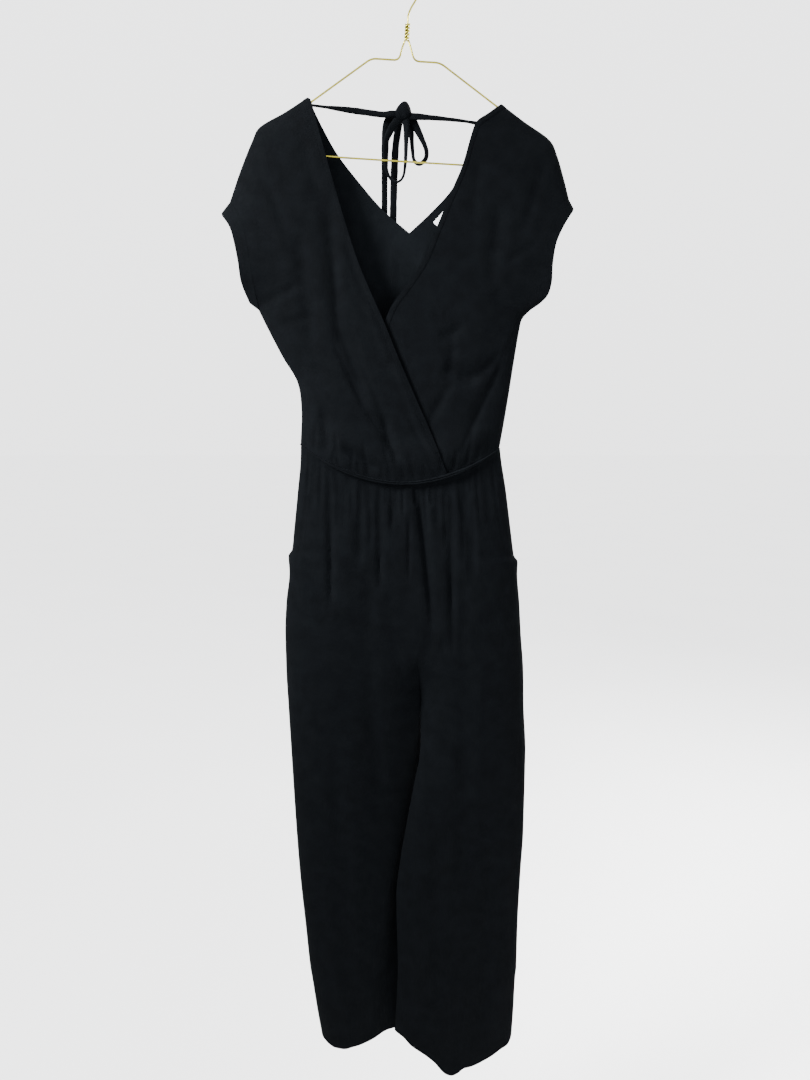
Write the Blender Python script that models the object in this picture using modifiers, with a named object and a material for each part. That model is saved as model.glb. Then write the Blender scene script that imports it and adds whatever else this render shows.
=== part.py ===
"""Wrap-front jumpsuit with a tied V back, hung flat on a thin wire hanger.

Units are metres, +Z is up, the garment's front faces -Y, and the wearer's
right side is at -X.  The origin is the inside top of the hanger's hook.
Every cloth panel is a thin wall: a sheet of points worked out from seam
lines and a depth, then thickened to both sides.
"""
import math
from collections import namedtuple

import bmesh
import bpy
from mathutils import Vector

# ---------------------------------------------------------------- sizes
CLOTH = 0.0012              # thickness of a cloth wall
SEAM_GAP = 0.0003           # space left between two sewn pieces
BINDING_WIDTH = 0.0065      # bound edge of the neckline
BAND_HEIGHT = 0.0045        # elastic seam at the waist
BAND_THICKNESS = 0.0012
BAND_GAP = 0.0007
BAND_EASE = 0.012           # the band stands off the side seams less than elsewhere
WRAP_SPACE = 0.0016         # each front lies this far off the mean front surface
HIDDEN_SPACE = 0.0035       # extra room where the under front runs behind the over front
HIDDEN_START = 0.012        # the under front moves in from this far outside the wrap edge
HIDDEN_EASE = 0.022
WRAP_EASE = 0.030           # the fronts part over this distance from a seam
WAIST_EASE = 0.012          # creases start this far above the waist seam
BINDING_THICKNESS = 0.0010
BINDING_GAP = 0.0006
SEAM_REACH = 0.085          # a panel reaches its full depth this far from a seam
SEAM_POWER = 0.6            # how round the fold at a seam is
INSEAM_POWER = 0.75         # the inside leg is pressed flatter than the side
BACK_FLATNESS = 0.85        # the back hangs flatter than the front

WAIST_RIGHT_X = -0.1530
WAIST_LEFT_X = 0.1235
WAIST_RIGHT_Z = -0.612
WAIST_LEFT_Z = -0.618       # the hanger's tilt drops the wearer's left side
WAIST_DIP = {"front": 0.050, "back": 0.014}     # how far the seam sags
BLOUSE_OUT = 0.006          # cloth blousing over the waist seam
BLOUSE_UP = 0.030
BLOUSE_SPREAD = 0.023

CROTCH_Z = -0.985
RISE_CURVE = 0.085          # height over which the rise seam curves under
LEG_SHIFT_REACH = 0.120     # width of leg that swings forward or back

WIRE_RADIUS = 0.0012
HOOK_INNER_RADIUS = 0.0168
HANGER_TILT = math.radians(3.4)
TWIST_BOTTOM_Z = -0.0905
ARM_FLAT_Z = -0.1145
ARM_FLAT_END = 0.045
# The wire below the hook, and each arm from the twist to its flat, before the tilt.
HOOK_NECK = [(0.0140, -0.0300), (0.0085, -0.0410), (0.0030, -0.0510), (0.0, -0.0600), (0.0, -0.0700)]
ARM_NECK = [(0.0035, TWIST_BOTTOM_Z + 0.0160), (0.0033, TWIST_BOTTOM_Z), (0.0050, -0.0980),
            (0.0064, -0.1060), (0.0080, -0.1118), (0.0118, ARM_FLAT_Z)]
BAR_Z = -0.2385

TIE_RADIUS = 0.0033
KNOT_ROUNDING = 0.0040

LABEL_CORNER = (0.0305, -0.3135)
LABEL_RUN = (0.68, 0.73)    # direction of its sewn edge, along the V
LABEL_LENGTH = 0.046
LABEL_WIDTH = 0.020
LABEL_THICKNESS = 0.0010
LABEL_GAP = 0.0007          # from the back panel

POCKET_TOP = -0.665
POCKET_BOTTOM = -0.905
POCKET_INSET = 0.024        # from the side seam to the near edge of the bag
POCKET_WIDTH = 0.085
POCKET_DEPTH = 0.0085       # how far inside the front it hangs
POCKET_THICKNESS = 0.0016
POCKET_COLUMNS = 4
POCKET_ROWS = 6

X_AXIS = Vector((1, 0, 0))
Y_AXIS = Vector((0, 1, 0))
Z_AXIS = Vector((0, 0, 1))

# Seam lines as (x, z) points: the shoulder seam from neck to cuff, the seam
# of the cuff from shoulder to underarm, the cuff's open edge, the side seam.
Outline = namedtuple("Outline", "shoulder cuff_seam cuff_edge side")
OUTLINES = {
    "right": Outline(
        shoulder=[(-0.1362, -0.1600), (-0.166, -0.178), (-0.199, -0.196), (-0.210, -0.214),
                  (-0.227, -0.252), (-0.242, -0.291)],
        cuff_seam=[(-0.242, -0.291), (-0.230, -0.309), (-0.221, -0.336), (-0.216, -0.366),
                   (-0.212, -0.396), (-0.207, -0.430)],
        cuff_edge=[(-0.2545, -0.306), (-0.2415, -0.3245), (-0.2350, -0.346), (-0.2305, -0.370),
                   (-0.2275, -0.396), (-0.219, -0.421)],
        side=[(-0.207, -0.430), (-0.1945, -0.456), (-0.1755, -0.493), (-0.1560, -0.527),
              (-0.1510, -0.565), (-0.1530, -0.612)]),
    "left": Outline(
        shoulder=[(0.119, -0.168), (0.150, -0.190), (0.183, -0.212), (0.194, -0.232),
                  (0.204, -0.262), (0.2115, -0.288)],
        cuff_seam=[(0.2115, -0.288), (0.198, -0.303), (0.186, -0.326), (0.178, -0.350),
                   (0.174, -0.376), (0.171, -0.402), (0.163, -0.430)],
        cuff_edge=[(0.2185, -0.300), (0.204, -0.323), (0.194, -0.346), (0.190, -0.372),
                   (0.1895, -0.395), (0.185, -0.412), (0.175, -0.422)],
        side=[(0.163, -0.430), (0.152, -0.442), (0.148, -0.458), (0.142, -0.497),
              (0.135, -0.546), (0.129, -0.585), (0.1235, -0.6176)]),
}
# The wrap edge of each front, from the neck to the waist.
WRAP_EDGES = {
    "right": [(-0.1362, -0.1600), (-0.1318, -0.1632), (-0.1288, -0.1725), (-0.123, -0.195),
              (-0.111, -0.238), (-0.092, -0.304), (-0.073, -0.363), (-0.055, -0.407),
              (-0.036, -0.449), (-0.015, -0.500), (0.006, -0.548), (0.030, -0.602),
              (0.050, -0.652)],
    "left": [(0.119, -0.168), (0.103, -0.180), (0.090, -0.1885), (0.084, -0.1955), (0.0785, -0.211),
             (0.068, -0.247), (0.056, -0.275), (0.035, -0.324), (0.017, -0.366), (-0.004, -0.398),
             (-0.032, -0.440), (-0.050, -0.520), (-0.063, -0.6465)],
}
# The back neck edge from the shoulder to the V's tip, then the centre back.
BACK_EDGES = {
    "right": [(-0.1362, -0.1600), (-0.1300, -0.1700), (-0.118, -0.193), (-0.098, -0.227),
              (-0.068, -0.264), (-0.038, -0.297), (-0.002, -0.327)],
    "left": [(0.119, -0.168), (0.103, -0.180), (0.090, -0.193), (0.079, -0.227),
             (0.056, -0.270), (0.027, -0.301), (-0.002, -0.327)],
}
CENTRE_BACK = [(-0.002, -0.327), (-0.005, -0.450), (-0.008, -0.626)]

# Half-depth of the hanging bodice and trousers at each height.
Depth = namedtuple("Depth", "z half")
DEPTHS = [
    Depth(-0.150, 0.0125), Depth(-0.200, 0.0125), Depth(-0.300, 0.0145), Depth(-0.420, 0.0170),
    Depth(-0.540, 0.0190), Depth(-0.650, 0.0175), Depth(-0.720, 0.0220), Depth(-0.820, 0.0275),
    Depth(-0.940, 0.0290), Depth(-1.060, 0.0240), Depth(-1.200, 0.0210), Depth(-1.400, 0.0190),
    Depth(-1.600, 0.0180)]

# Side seams of the trousers; the pockets' lower ends stand out near -0.775.
Sides = namedtuple("Sides", "z right left")
TROUSER_SIDES = [
    Sides(-0.600, -0.1525, 0.1225), Sides(-0.632, -0.1535, 0.1262), Sides(-0.675, -0.158, 0.1335),
    Sides(-0.736, -0.165, 0.1420), Sides(-0.761, -0.168, 0.1455), Sides(-0.770, -0.1735, 0.1470),
    Sides(-0.778, -0.1732, 0.1526), Sides(-0.792, -0.1725, 0.1522), Sides(-0.838, -0.1778, 0.1560),
    Sides(-0.884, -0.1803, 0.1592), Sides(-0.938, -0.1800, 0.1638), Sides(-0.992, -0.178, 0.1655),
    Sides(-1.066, -0.1750, 0.1697), Sides(-1.184, -0.1700, 0.1692), Sides(-1.260, -0.1656, 0.1660),
    Sides(-1.342, -0.1587, 0.1635),
    Sides(-1.412, -0.1528, 0.1630), Sides(-1.424, -0.1510, 0.1617), Sides(-1.484, -0.143, 0.1598),
    Sides(-1.530, -0.136, 0.1575), Sides(-1.620, -0.1240, 0.1520)]

# The seam from the waist's middle down to the crotch, front and back alike.
Rise = namedtuple("Rise", "z x")
RISE_SEAM = [Rise(-0.600, -0.004), Rise(-0.800, 0.003), Rise(-0.985, 0.015)]

# The inseams below the crotch.  The right leg swings behind the left one, so
# its inseam shifts to +Y.
Inner = namedtuple("Inner", "z right_x right_y left_x left_y")
INSEAMS = [
    Inner(-0.985, 0.015, 0.0, 0.015, 0.0), Inner(-1.040, 0.0158, 0.005, 0.0158, -0.005),
    Inner(-1.070, 0.0160, 0.009, 0.0135, -0.008), Inner(-1.100, 0.0140, 0.011, 0.0075, -0.009),
    Inner(-1.135, 0.0105, 0.013, 0.0010, -0.011), Inner(-1.175, 0.0110, 0.015, -0.006, -0.012),
    Inner(-1.220, 0.0140, 0.017, -0.0135, -0.013), Inner(-1.286, 0.018, 0.018, -0.0205, -0.013),
    Inner(-1.400, 0.026, 0.018, -0.0185, -0.013), Inner(-1.520, 0.029, 0.016, -0.0240, -0.012),
    Inner(-1.620, 0.029, 0.016, -0.0270, -0.012)]

# Hem height across each leg, from the side seam (0) to the inseam (1).
Hem = namedtuple("Hem", "across z")
HEMS = {
    "right": [Hem(0.00, -1.526), Hem(0.06, -1.535), Hem(0.11, -1.5385), Hem(0.19, -1.5388),
              Hem(0.30, -1.533), Hem(0.44, -1.5225), Hem(0.58, -1.5135), Hem(0.68, -1.512),
              Hem(1.00, -1.510)],
    "left": [Hem(0.00, -1.527), Hem(0.03, -1.5375), Hem(0.09, -1.5420), Hem(0.16, -1.5500),
             Hem(0.26, -1.5590), Hem(0.33, -1.5645), Hem(0.40, -1.5685), Hem(0.45, -1.5760),
             Hem(0.50, -1.5790), Hem(0.55, -1.5757), Hem(0.60, -1.5665), Hem(0.65, -1.5545),
             Hem(0.76, -1.5372), Hem(0.86, -1.5255), Hem(0.93, -1.5135), Hem(1.00, -1.5075)],
}
BACK_HEM_UP = 0.007         # the back hem rides up a little in the middle of a leg

# The fold where the right leg steps back behind the left one.
Step = namedtuple("Step", "z x cut")
LEG_STEP = [
    Step(-1.060, 0.016, 0.0), Step(-1.120, 0.002, 0.25), Step(-1.200, -0.014, 0.50),
    Step(-1.290, -0.034, 0.60), Step(-1.350, -0.052, 0.45), Step(-1.420, -0.070, 0.0),
    Step(-1.600, -0.080, 0.0)]
STEP_WIDTH = 0.024

# Creases as soft troughs (depth above 0) or ridges (below 0) from one end to
# the other, in the front view; width is the half-width of the dip.
Fold = namedtuple("Fold", "x0 z0 x1 z1 width depth")
BODICE_FRONT_FOLDS = [
    Fold(-0.110, -0.300, -0.098, -0.450, 0.010, 0.0030),
    Fold(-0.098, -0.450, -0.062, -0.552, 0.009, 0.0040),
    Fold(-0.150, -0.330, -0.132, -0.480, 0.011, 0.0028),
    Fold(-0.120, -0.565, -0.114, -0.622, 0.008, 0.0040),
    Fold(-0.092, -0.615, -0.045, -0.646, 0.007, 0.0045),
    Fold(-0.038, -0.575, -0.018, -0.640, 0.007, 0.0035),
    Fold(0.060, -0.440, 0.050, -0.500, 0.009, 0.0040),
    Fold(0.050, -0.505, 0.086, -0.520, 0.008, 0.0045),
    Fold(0.130, -0.470, 0.072, -0.605, 0.009, 0.0045),
    Fold(0.120, -0.300, 0.106, -0.400, 0.011, 0.0028),
    Fold(0.032, -0.520, 0.044, -0.600, 0.008, 0.0030)]
BODICE_BACK_FOLDS = [
    Fold(-0.120, -0.330, -0.090, -0.500, 0.011, 0.0035),
    Fold(-0.060, -0.400, -0.045, -0.590, 0.010, 0.0032),
    Fold(0.050, -0.390, 0.035, -0.570, 0.010, 0.0035),
    Fold(0.110, -0.320, 0.085, -0.510, 0.011, 0.0032),
    Fold(0.000, -0.480, -0.004, -0.610, 0.009, 0.0030)]
TROUSER_FRONT_FOLDS = [
    Fold(-0.136, -0.630, -0.139, -0.700, 0.006, 0.0022),
    Fold(-0.112, -0.645, -0.112, -0.835, 0.006, 0.0038),
    Fold(-0.092, -0.655, -0.094, -0.730, 0.006, 0.0026),
    Fold(-0.068, -0.660, -0.072, -0.780, 0.006, 0.0030),
    Fold(-0.043, -0.668, -0.043, -0.800, 0.006, 0.0034),
    Fold(-0.020, -0.668, -0.022, -0.720, 0.006, 0.0026),
    Fold(0.010, -0.668, 0.030, -0.840, 0.007, 0.0042),
    Fold(0.036, -0.662, 0.038, -0.730, 0.006, 0.0026),
    Fold(0.056, -0.660, 0.057, -0.860, 0.006, 0.0036),
    Fold(0.073, -0.650, 0.086, -0.795, 0.006, 0.0036),
    Fold(0.104, -0.640, 0.110, -0.720, 0.006, 0.0024),
    Fold(-0.060, -0.900, -0.045, -1.150, 0.014, 0.0030),
    Fold(0.080, -0.950, 0.075, -1.250, 0.014, 0.0032),
    Fold(-0.110, -1.050, -0.095, -1.400, 0.014, 0.0030),
    Fold(0.120, -1.200, 0.105, -1.520, 0.014, 0.0030),
    Fold(0.035, -1.150, 0.045, -1.480, 0.013, 0.0030)]
TROUSER_BACK_FOLDS = [
    Fold(-0.125, -0.625, -0.130, -0.760, 0.007, 0.0030),
    Fold(-0.088, -0.632, -0.092, -0.810, 0.007, 0.0034),
    Fold(-0.052, -0.636, -0.055, -0.740, 0.007, 0.0030),
    Fold(-0.022, -0.638, -0.020, -0.830, 0.007, 0.0034),
    Fold(0.022, -0.638, 0.026, -0.770, 0.007, 0.0030),
    Fold(0.055, -0.634, 0.064, -0.830, 0.007, 0.0034),
    Fold(0.092, -0.630, 0.102, -0.750, 0.007, 0.0030),
    Fold(-0.085, -0.950, -0.080, -1.300, 0.014, 0.0032),
    Fold(0.090, -1.000, 0.085, -1.380, 0.014, 0.0032)]

# Routes of the back tie, each through a few points.
TIE_ROUTES = {
    "tie_strap_right": [(-0.1330, 0.0092, -0.1650), (-0.1230, 0.0108, -0.1658),
                        (-0.098, 0.0122, -0.1682), (-0.064, 0.0130, -0.1722),
                        (-0.0380, 0.0125, -0.1757), (-0.0265, 0.0110, -0.1752),
                        (-0.0220, 0.0110, -0.1750)],
    "tie_strap_left": [(0.0940, 0.0126, -0.1872), (0.0850, 0.0136, -0.1856), (0.0660, 0.0136, -0.1828),
                       (0.0363, 0.0125, -0.1803), (0.0110, 0.0108, -0.1790),
                       (0.0026, 0.0108, -0.1780)],
    "bow_loop_right": [(-0.0195, 0.0125, -0.1850), (-0.0200, 0.0125, -0.1885), (-0.0285, 0.0125, -0.1970),
                       (-0.0340, 0.0120, -0.2130), (-0.0335, 0.0120, -0.2400), (-0.0285, 0.0120, -0.2550),
                       (-0.0195, 0.0117, -0.2613), (-0.0110, 0.0113, -0.2555), (-0.0075, 0.0110, -0.2380),
                       (-0.0062, 0.0108, -0.2080), (-0.0062, 0.0115, -0.1920), (-0.0062, 0.0115, -0.1850)],
    "bow_loop_left": [(0.0026, 0.0190, -0.1820), (0.0060, 0.0188, -0.1835), (0.0092, 0.0170, -0.1920),
                      (0.0130, 0.0150, -0.2020), (0.0185, 0.0138, -0.2135), (0.0212, 0.0134, -0.2230),
                      (0.0195, 0.0132, -0.2320), (0.0115, 0.0132, -0.2378), (0.0042, 0.0140, -0.2325),
                      (0.0020, 0.0160, -0.2160), (0.0010, 0.0190, -0.2010), (-0.0010, 0.0210, -0.1900),
                      (-0.0015, 0.0210, -0.1850)],
    "tie_tail_right": [(-0.0220, 0.0215, -0.1740), (-0.0270, 0.0215, -0.1755), (-0.0325, 0.0212, -0.1805),
                       (-0.0352, 0.0210, -0.1900), (-0.0358, 0.0210, -0.2100), (-0.0358, 0.0212, -0.2500),
                       (-0.0358, 0.0220, -0.3000), (-0.0365, 0.0250, -0.3500), (-0.0380, 0.0265, -0.4050)],
    "tie_tail_left": [(-0.0175, 0.0220, -0.1850), (-0.0180, 0.0218, -0.1960), (-0.0215, 0.0210, -0.2200),
                      (-0.0230, 0.0212, -0.2670), (-0.0240, 0.0225, -0.3200), (-0.0235, 0.0255, -0.3800),
                      (-0.0225, 0.0270, -0.4300)],
}
KNOT_CENTRE = Vector((-0.0096, 0.0165, -0.1712))
KNOT_HALF = Vector((0.0115, 0.0098, 0.0128))
KNOT_TOP_SHARE = 0.55       # the knot narrows to this share of its width at the top

CREPE = ("crepe", (0.0075, 0.0090, 0.0110), 0.86, 0.0)
WIRE = ("gold_wire", (0.44, 0.38, 0.12), 0.28, 1.0)
LABEL = ("label", (0.62, 0.64, 0.66), 0.75, 0.0)


# ---------------------------------------------------------------- helpers
def table_value(rows, column, at):
    """Smooth reading of one column of a table at a value of its first column."""
    keys = [row[0] for row in rows]
    values = [getattr(row, column) for row in rows]
    if keys[0] > keys[-1]:
        keys.reverse()
        values.reverse()
    if at <= keys[0]:
        return values[0]
    if at >= keys[-1]:
        return values[-1]
    i = max(k for k in range(len(keys) - 1) if keys[k] <= at)
    span = keys[i + 1] - keys[i]
    slope = (values[i + 1] - values[i]) / span
    before = slope if i == 0 else (values[i] - values[i - 1]) / (keys[i] - keys[i - 1])
    after = slope if i + 2 == len(keys) else (values[i + 2] - values[i + 1]) / (keys[i + 2] - keys[i + 1])
    start = 0.0 if before * slope <= 0 else 2 * before * slope / (before + slope)
    end = 0.0 if after * slope <= 0 else 2 * after * slope / (after + slope)
    t = (at - keys[i]) / span
    return ((2 * t ** 3 - 3 * t ** 2 + 1) * values[i] + (t ** 3 - 2 * t ** 2 + t) * span * start
            + (3 * t ** 2 - 2 * t ** 3) * values[i + 1] + (t ** 3 - t ** 2) * span * end)


def smooth_curve(points, steps=10):
    """A dense curve through the given points, passing each one smoothly."""
    points = [Vector(p) for p in points]
    ends = [2 * points[0] - points[1]] + points + [2 * points[-1] - points[-2]]
    dense = []
    for a, b, c, d in zip(ends, ends[1:], ends[2:], ends[3:]):
        for k in range(steps):
            t = k / steps
            dense.append(0.5 * (2 * b + (c - a) * t + (2 * a - 5 * b + 4 * c - d) * t ** 2
                                + (3 * b - a - 3 * c + d) * t ** 3))
    dense.append(points[-1])
    return dense


def spread_along(points, fractions):
    """Points at the given fractions of the length of a smooth curve."""
    dense = smooth_curve(points)
    lengths = [0.0]
    for a, b in zip(dense, dense[1:]):
        lengths.append(lengths[-1] + (b - a).length)
    found = []
    for fraction in fractions:
        target = fraction * lengths[-1]
        i = 0
        while i < len(dense) - 2 and lengths[i + 1] < target:
            i += 1
        t = (target - lengths[i]) / (lengths[i + 1] - lengths[i])
        found.append(dense[i].lerp(dense[i + 1], min(max(t, 0.0), 1.0)))
    return found


def both_ends(count):
    """Fractions from 0 to 1, closer together at both ends."""
    return [(1 - math.cos(math.pi * k / count)) / 2 for k in range(count + 1)]


def shares_of(points):
    """How far along a row of points each one lies, from 0 to 1."""
    lengths = [0.0]
    for a, b in zip(points, points[1:]):
        lengths.append(lengths[-1] + (b - a).length)
    return [length / lengths[-1] for length in lengths]


def smooth_step(t):
    t = min(max(t, 0.0), 1.0)
    return t * t * (3 - 2 * t)


def rise(distance, power=SEAM_POWER):
    """Share of the full depth at a distance from a seam; upright at the seam."""
    t = min(max(distance / SEAM_REACH, 0.0), 1.0)
    return (1 - (1 - t) ** 2) ** power


def relief(folds, x, z):
    """Depth of the creases at a place in the front view; above 0 is inward."""
    total = 0.0
    for fold in folds:
        run_x = fold.x1 - fold.x0
        run_z = fold.z1 - fold.z0
        length = math.hypot(run_x, run_z)
        along = ((x - fold.x0) * run_x + (z - fold.z0) * run_z) / length ** 2
        if -0.15 < along < 1.15:
            aside = ((x - fold.x0) * run_z - (z - fold.z0) * run_x) / length
            ends = smooth_step((along + 0.15) / 0.35) * smooth_step((1.15 - along) / 0.35)
            total += fold.depth * ends * math.exp(-(aside / fold.width) ** 2)
    return total


# ---------------------------------------------------------------- sheets
class Sheet:
    """An open cloth surface: points, quads, and the direction across each seam."""

    def __init__(self):
        self.points = []
        self.across = []
        self.faces = []

    def add_grid(self, rows, across, flip):
        """rows[j][i] are points, across[j][i] the seam directions at each point."""
        first = len(self.points)
        width = len(rows[0])
        for row, seams in zip(rows, across):
            self.points.extend(row)
            self.across.extend(seams)
        for j in range(len(rows) - 1):
            for i in range(width - 1):
                a = first + j * width + i
                quad = [a, a + 1, a + 1 + width, a + width]
                if flip:
                    quad.reverse()
                self.faces.append(quad)
        return first

    def weld(self, pairs):
        """Use one point for each pair of points that lie at the same place."""
        swap = dict(pairs)
        self.faces = [[swap.get(i, i) for i in face] for face in self.faces]

    def normals(self):
        """Unit direction out of the sheet at each point, square to its seams."""
        total = [Vector((0, 0, 0)) for _ in self.points]
        for face in self.faces:
            corners = [self.points[i] for i in face]
            turn = (corners[2] - corners[0]).cross(corners[3] - corners[1])
            for i in face:
                total[i] += turn.normalized()
        out = []
        for normal, seams in zip(total, self.across):
            if X_AXIS in seams and Y_AXIS in seams:
                normal = -Z_AXIS            # the crotch point, where four panels meet
            for direction in seams:
                normal = normal - direction * normal.dot(direction)
            out.append(normal.normalized())
        return out


def build_wall(name, sheet, finish, thickness=CLOTH, offset=0.0):
    """Thicken a sheet into one closed solid; offset moves it out first."""
    out = sheet.normals()
    used = sorted({i for face in sheet.faces for i in face})
    mesh = bmesh.new()
    outer = {}
    inner = {}
    for i in used:
        outer[i] = mesh.verts.new(sheet.points[i] + out[i] * (offset + thickness / 2))
        inner[i] = mesh.verts.new(sheet.points[i] + out[i] * (offset - thickness / 2))
    edges = {}
    for face in sheet.faces:
        mesh.faces.new([outer[i] for i in face])
        mesh.faces.new([inner[i] for i in reversed(face)])
        for a, b in zip(face, face[1:] + face[:1]):
            edges[(a, b)] = edges.get((a, b), 0) + 1
    for a, b in edges:
        if (b, a) not in edges:
            mesh.faces.new([outer[b], outer[a], inner[a], inner[b]])
    bmesh.ops.triangulate(mesh, faces=mesh.faces[:])
    data = bpy.data.meshes.new(name)
    mesh.to_mesh(data)
    mesh.free()
    return add_object(name, data, finish)


def add_object(name, data, finish):
    label, colour, roughness, metallic = finish
    material = bpy.data.materials.get(label)
    if material is None:
        material = bpy.data.materials.new(label)
        material.use_nodes = True
        shader = material.node_tree.nodes["Principled BSDF"]
        shader.inputs["Base Color"].default_value = (*colour, 1.0)
        shader.inputs["Roughness"].default_value = roughness
        shader.inputs["Metallic"].default_value = metallic
    data.materials.append(material)
    item = bpy.data.objects.new(name, data)
    bpy.data.collections["jumpsuit_on_hanger"].objects.link(item)
    if item.type == "MESH":
        data.shade_smooth()
        data.set_sharp_from_angle(angle=math.radians(50))
    return item


# ---------------------------------------------------------------- bodice
def seam_distance(x, z):
    """Distance in the front view to the nearest shoulder or side seam."""
    place = Vector((x, z))
    best = 1.0
    for a, b in SEAM_PIECES:
        run = b - a
        t = min(max((place - a).dot(run) / run.length_squared, 0.0), 1.0)
        best = min(best, (place - a - run * t).length)
    return best


def waist_z(face, x):
    """Height of the waist seam, sagging between the side seams."""
    share = (x - WAIST_RIGHT_X) / (WAIST_LEFT_X - WAIST_RIGHT_X)
    level = WAIST_RIGHT_Z + (WAIST_LEFT_Z - WAIST_RIGHT_Z) * share
    return level - WAIST_DIP[face] * 4 * share * (1 - share)


def bodice_y(face, x, z, creased=1.0):
    """Y of the bodice's mean surface, front or back, at a place in the front view."""
    front = face == "front"
    above = z - waist_z(face, x)
    blouse = BLOUSE_OUT * math.exp(-((above - BLOUSE_UP) / BLOUSE_SPREAD) ** 2)
    folds = relief(BODICE_FRONT_FOLDS if front else BODICE_BACK_FOLDS, x, z)
    depth = table_value(DEPTHS, "half", z) + blouse - folds * creased * smooth_step(above / WAIST_EASE)
    depth *= rise(seam_distance(x, z))
    return -depth if front else depth * BACK_FLATNESS


def waist_y(face, x):
    """Y of the waist seam, which bodice and trousers share."""
    return bodice_y(face, x, waist_z(face, x))


def patch(top, bottom, inner, outer, along, down):
    """Points between four boundary lines (Coons patch), in the front view."""
    rows = []
    for j, v in enumerate(down):
        row = []
        for i, u in enumerate(along):
            point = (top[i] * (1 - v) + bottom[i] * v + inner[j] * (1 - u) + outer[j] * u
                     - top[0] * (1 - u) * (1 - v) - top[-1] * u * (1 - v)
                     - bottom[0] * (1 - u) * v - bottom[-1] * u * v)
            row.append(point)
        rows.append(row)
    return rows


def bodice_grid(side, face, edge_points, columns, cuff_rows, side_rows):
    """One half of the bodice, from its neck or wrap edge out to cuff and side seam."""
    outline = OUTLINES[side]
    sign = -1 if face == "front" else 1
    along = [math.sin(math.pi / 2 * k / columns) for k in range(columns + 1)]
    cuff = spread_along(outline.cuff_seam, both_ends(cuff_rows))
    seam = spread_along(outline.side, both_ends(side_rows))
    outer = cuff + seam[1:]
    count = cuff_rows + side_rows
    down = [(a + b) / 2 for a, b in zip(shares_of(edge_points), shares_of(outer))]
    top = spread_along(outline.shoulder, along)
    start = edge_points[-1]
    bottom_x = [start.x + (outer[-1].x - start.x) * u for u in along]
    bottom = [Vector((x, waist_z(face, x) + SEAM_GAP)) for x in bottom_x]
    edge_points[-1] = bottom[0]
    outer[-1] = bottom[-1]
    flat = patch(top, bottom, edge_points, outer, along, down)
    cuff_out = spread_along(outline.cuff_edge, both_ends(cuff_rows))
    rows = []
    across = []
    for j, flat_row in enumerate(flat):
        row = []
        seams = []
        for i, place in enumerate(flat_row):
            y = bodice_y(face, place.x, place.y)
            directions = []
            on_shoulder = j == 0
            on_side = i == columns and j >= cuff_rows
            if on_shoulder or on_side:
                y = sign * SEAM_GAP / 2
                directions.append(Y_AXIS)
            if i == columns and j <= cuff_rows:
                outward = cuff_out[j] - cuff[j]
                directions.append(Vector((outward.x, 0, outward.y)).normalized())
            if j == count:
                directions.append(Z_AXIS)
            row.append(Vector((place.x, y, place.y)))
            seams.append(directions)
        rows.append(row)
        across.append(seams)
    return rows, across


COLUMNS = 12
CUFF_ROWS = 7
SIDE_ROWS = 11


def wrap_edge_x(z):
    """Where the over front ends at a height."""
    edge = WRAP_EDGES["right"]
    for (x0, z0), (x1, z1) in zip(edge, edge[1:]):
        if z1 <= z <= z0:
            return x0 + (x1 - x0) * (z0 - z) / (z0 - z1)
    return edge[0][0] if z > edge[0][1] else edge[-1][0]


def wrap_over(rows):
    """Set the over front a little out, easing to nothing at its seams."""
    for row in rows:
        for point in row:
            point.y -= WRAP_SPACE * smooth_step(seam_distance(point.x, point.z) / WRAP_EASE)


def wrap_under(rows):
    """Set the under front a little in, and smooth and further in where the over front hides it."""
    for row in rows:
        for point in row:
            ease = smooth_step(seam_distance(point.x, point.z) / WRAP_EASE)
            hidden = smooth_step((wrap_edge_x(point.z) - point.x + HIDDEN_START) / HIDDEN_EASE)
            if ease > 0:
                creased = bodice_y("front", point.x, point.z)
                plain = bodice_y("front", point.x, point.z, creased=0.0)
                point.y += (plain - creased) * hidden
            point.y += (WRAP_SPACE + HIDDEN_SPACE * hidden) * ease


def front_panel(side):
    edge = spread_along(WRAP_EDGES[side], both_ends(CUFF_ROWS + SIDE_ROWS))
    rows, across = bodice_grid(side, "front", edge, COLUMNS, CUFF_ROWS, SIDE_ROWS)
    if side == "right":
        wrap_over(rows)
    else:
        wrap_under(rows)
    sheet = Sheet()
    sheet.add_grid(rows, across, flip=(side == "left"))
    build_wall(f"bodice_front_{side}", sheet, CREPE)
    return rows


def back_panel():
    sheet = Sheet()
    halves = {}
    firsts = {}
    count = CUFF_ROWS + SIDE_ROWS
    for side in ("right", "left"):
        neck = spread_along(BACK_EDGES[side], [(k / CUFF_ROWS) ** 2 for k in range(CUFF_ROWS + 1)])
        centre = spread_along(CENTRE_BACK, [math.sin(math.pi / 2 * k / SIDE_ROWS)
                                            for k in range(SIDE_ROWS + 1)])
        rows, across = bodice_grid(side, "back", neck + centre[1:], COLUMNS, CUFF_ROWS, SIDE_ROWS)
        firsts[side] = sheet.add_grid(rows, across, flip=(side == "right"))
        halves[side] = rows
    width = COLUMNS + 1
    sheet.weld([(firsts["left"] + j * width, firsts["right"] + j * width)
                for j in range(CUFF_ROWS, count + 1)])
    build_wall("bodice_back", sheet, CREPE)
    return halves


def strip_points(rows, width, count):
    """The first stretch of each row, of a given width, from the panel's own points."""
    strip = []
    for row in rows:
        reach = 0.0
        lengths = [0.0]
        for a, b in zip(row, row[1:]):
            reach += (b - a).length
            lengths.append(reach)
        new_row = []
        for k in range(count + 1):
            target = width * k / count
            i = 0
            while i < len(row) - 2 and lengths[i + 1] < target:
                i += 1
            t = (target - lengths[i]) / max(lengths[i + 1] - lengths[i], 1e-9)
            new_row.append(row[i].lerp(row[i + 1], t))
        strip.append(new_row)
    return strip


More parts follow.
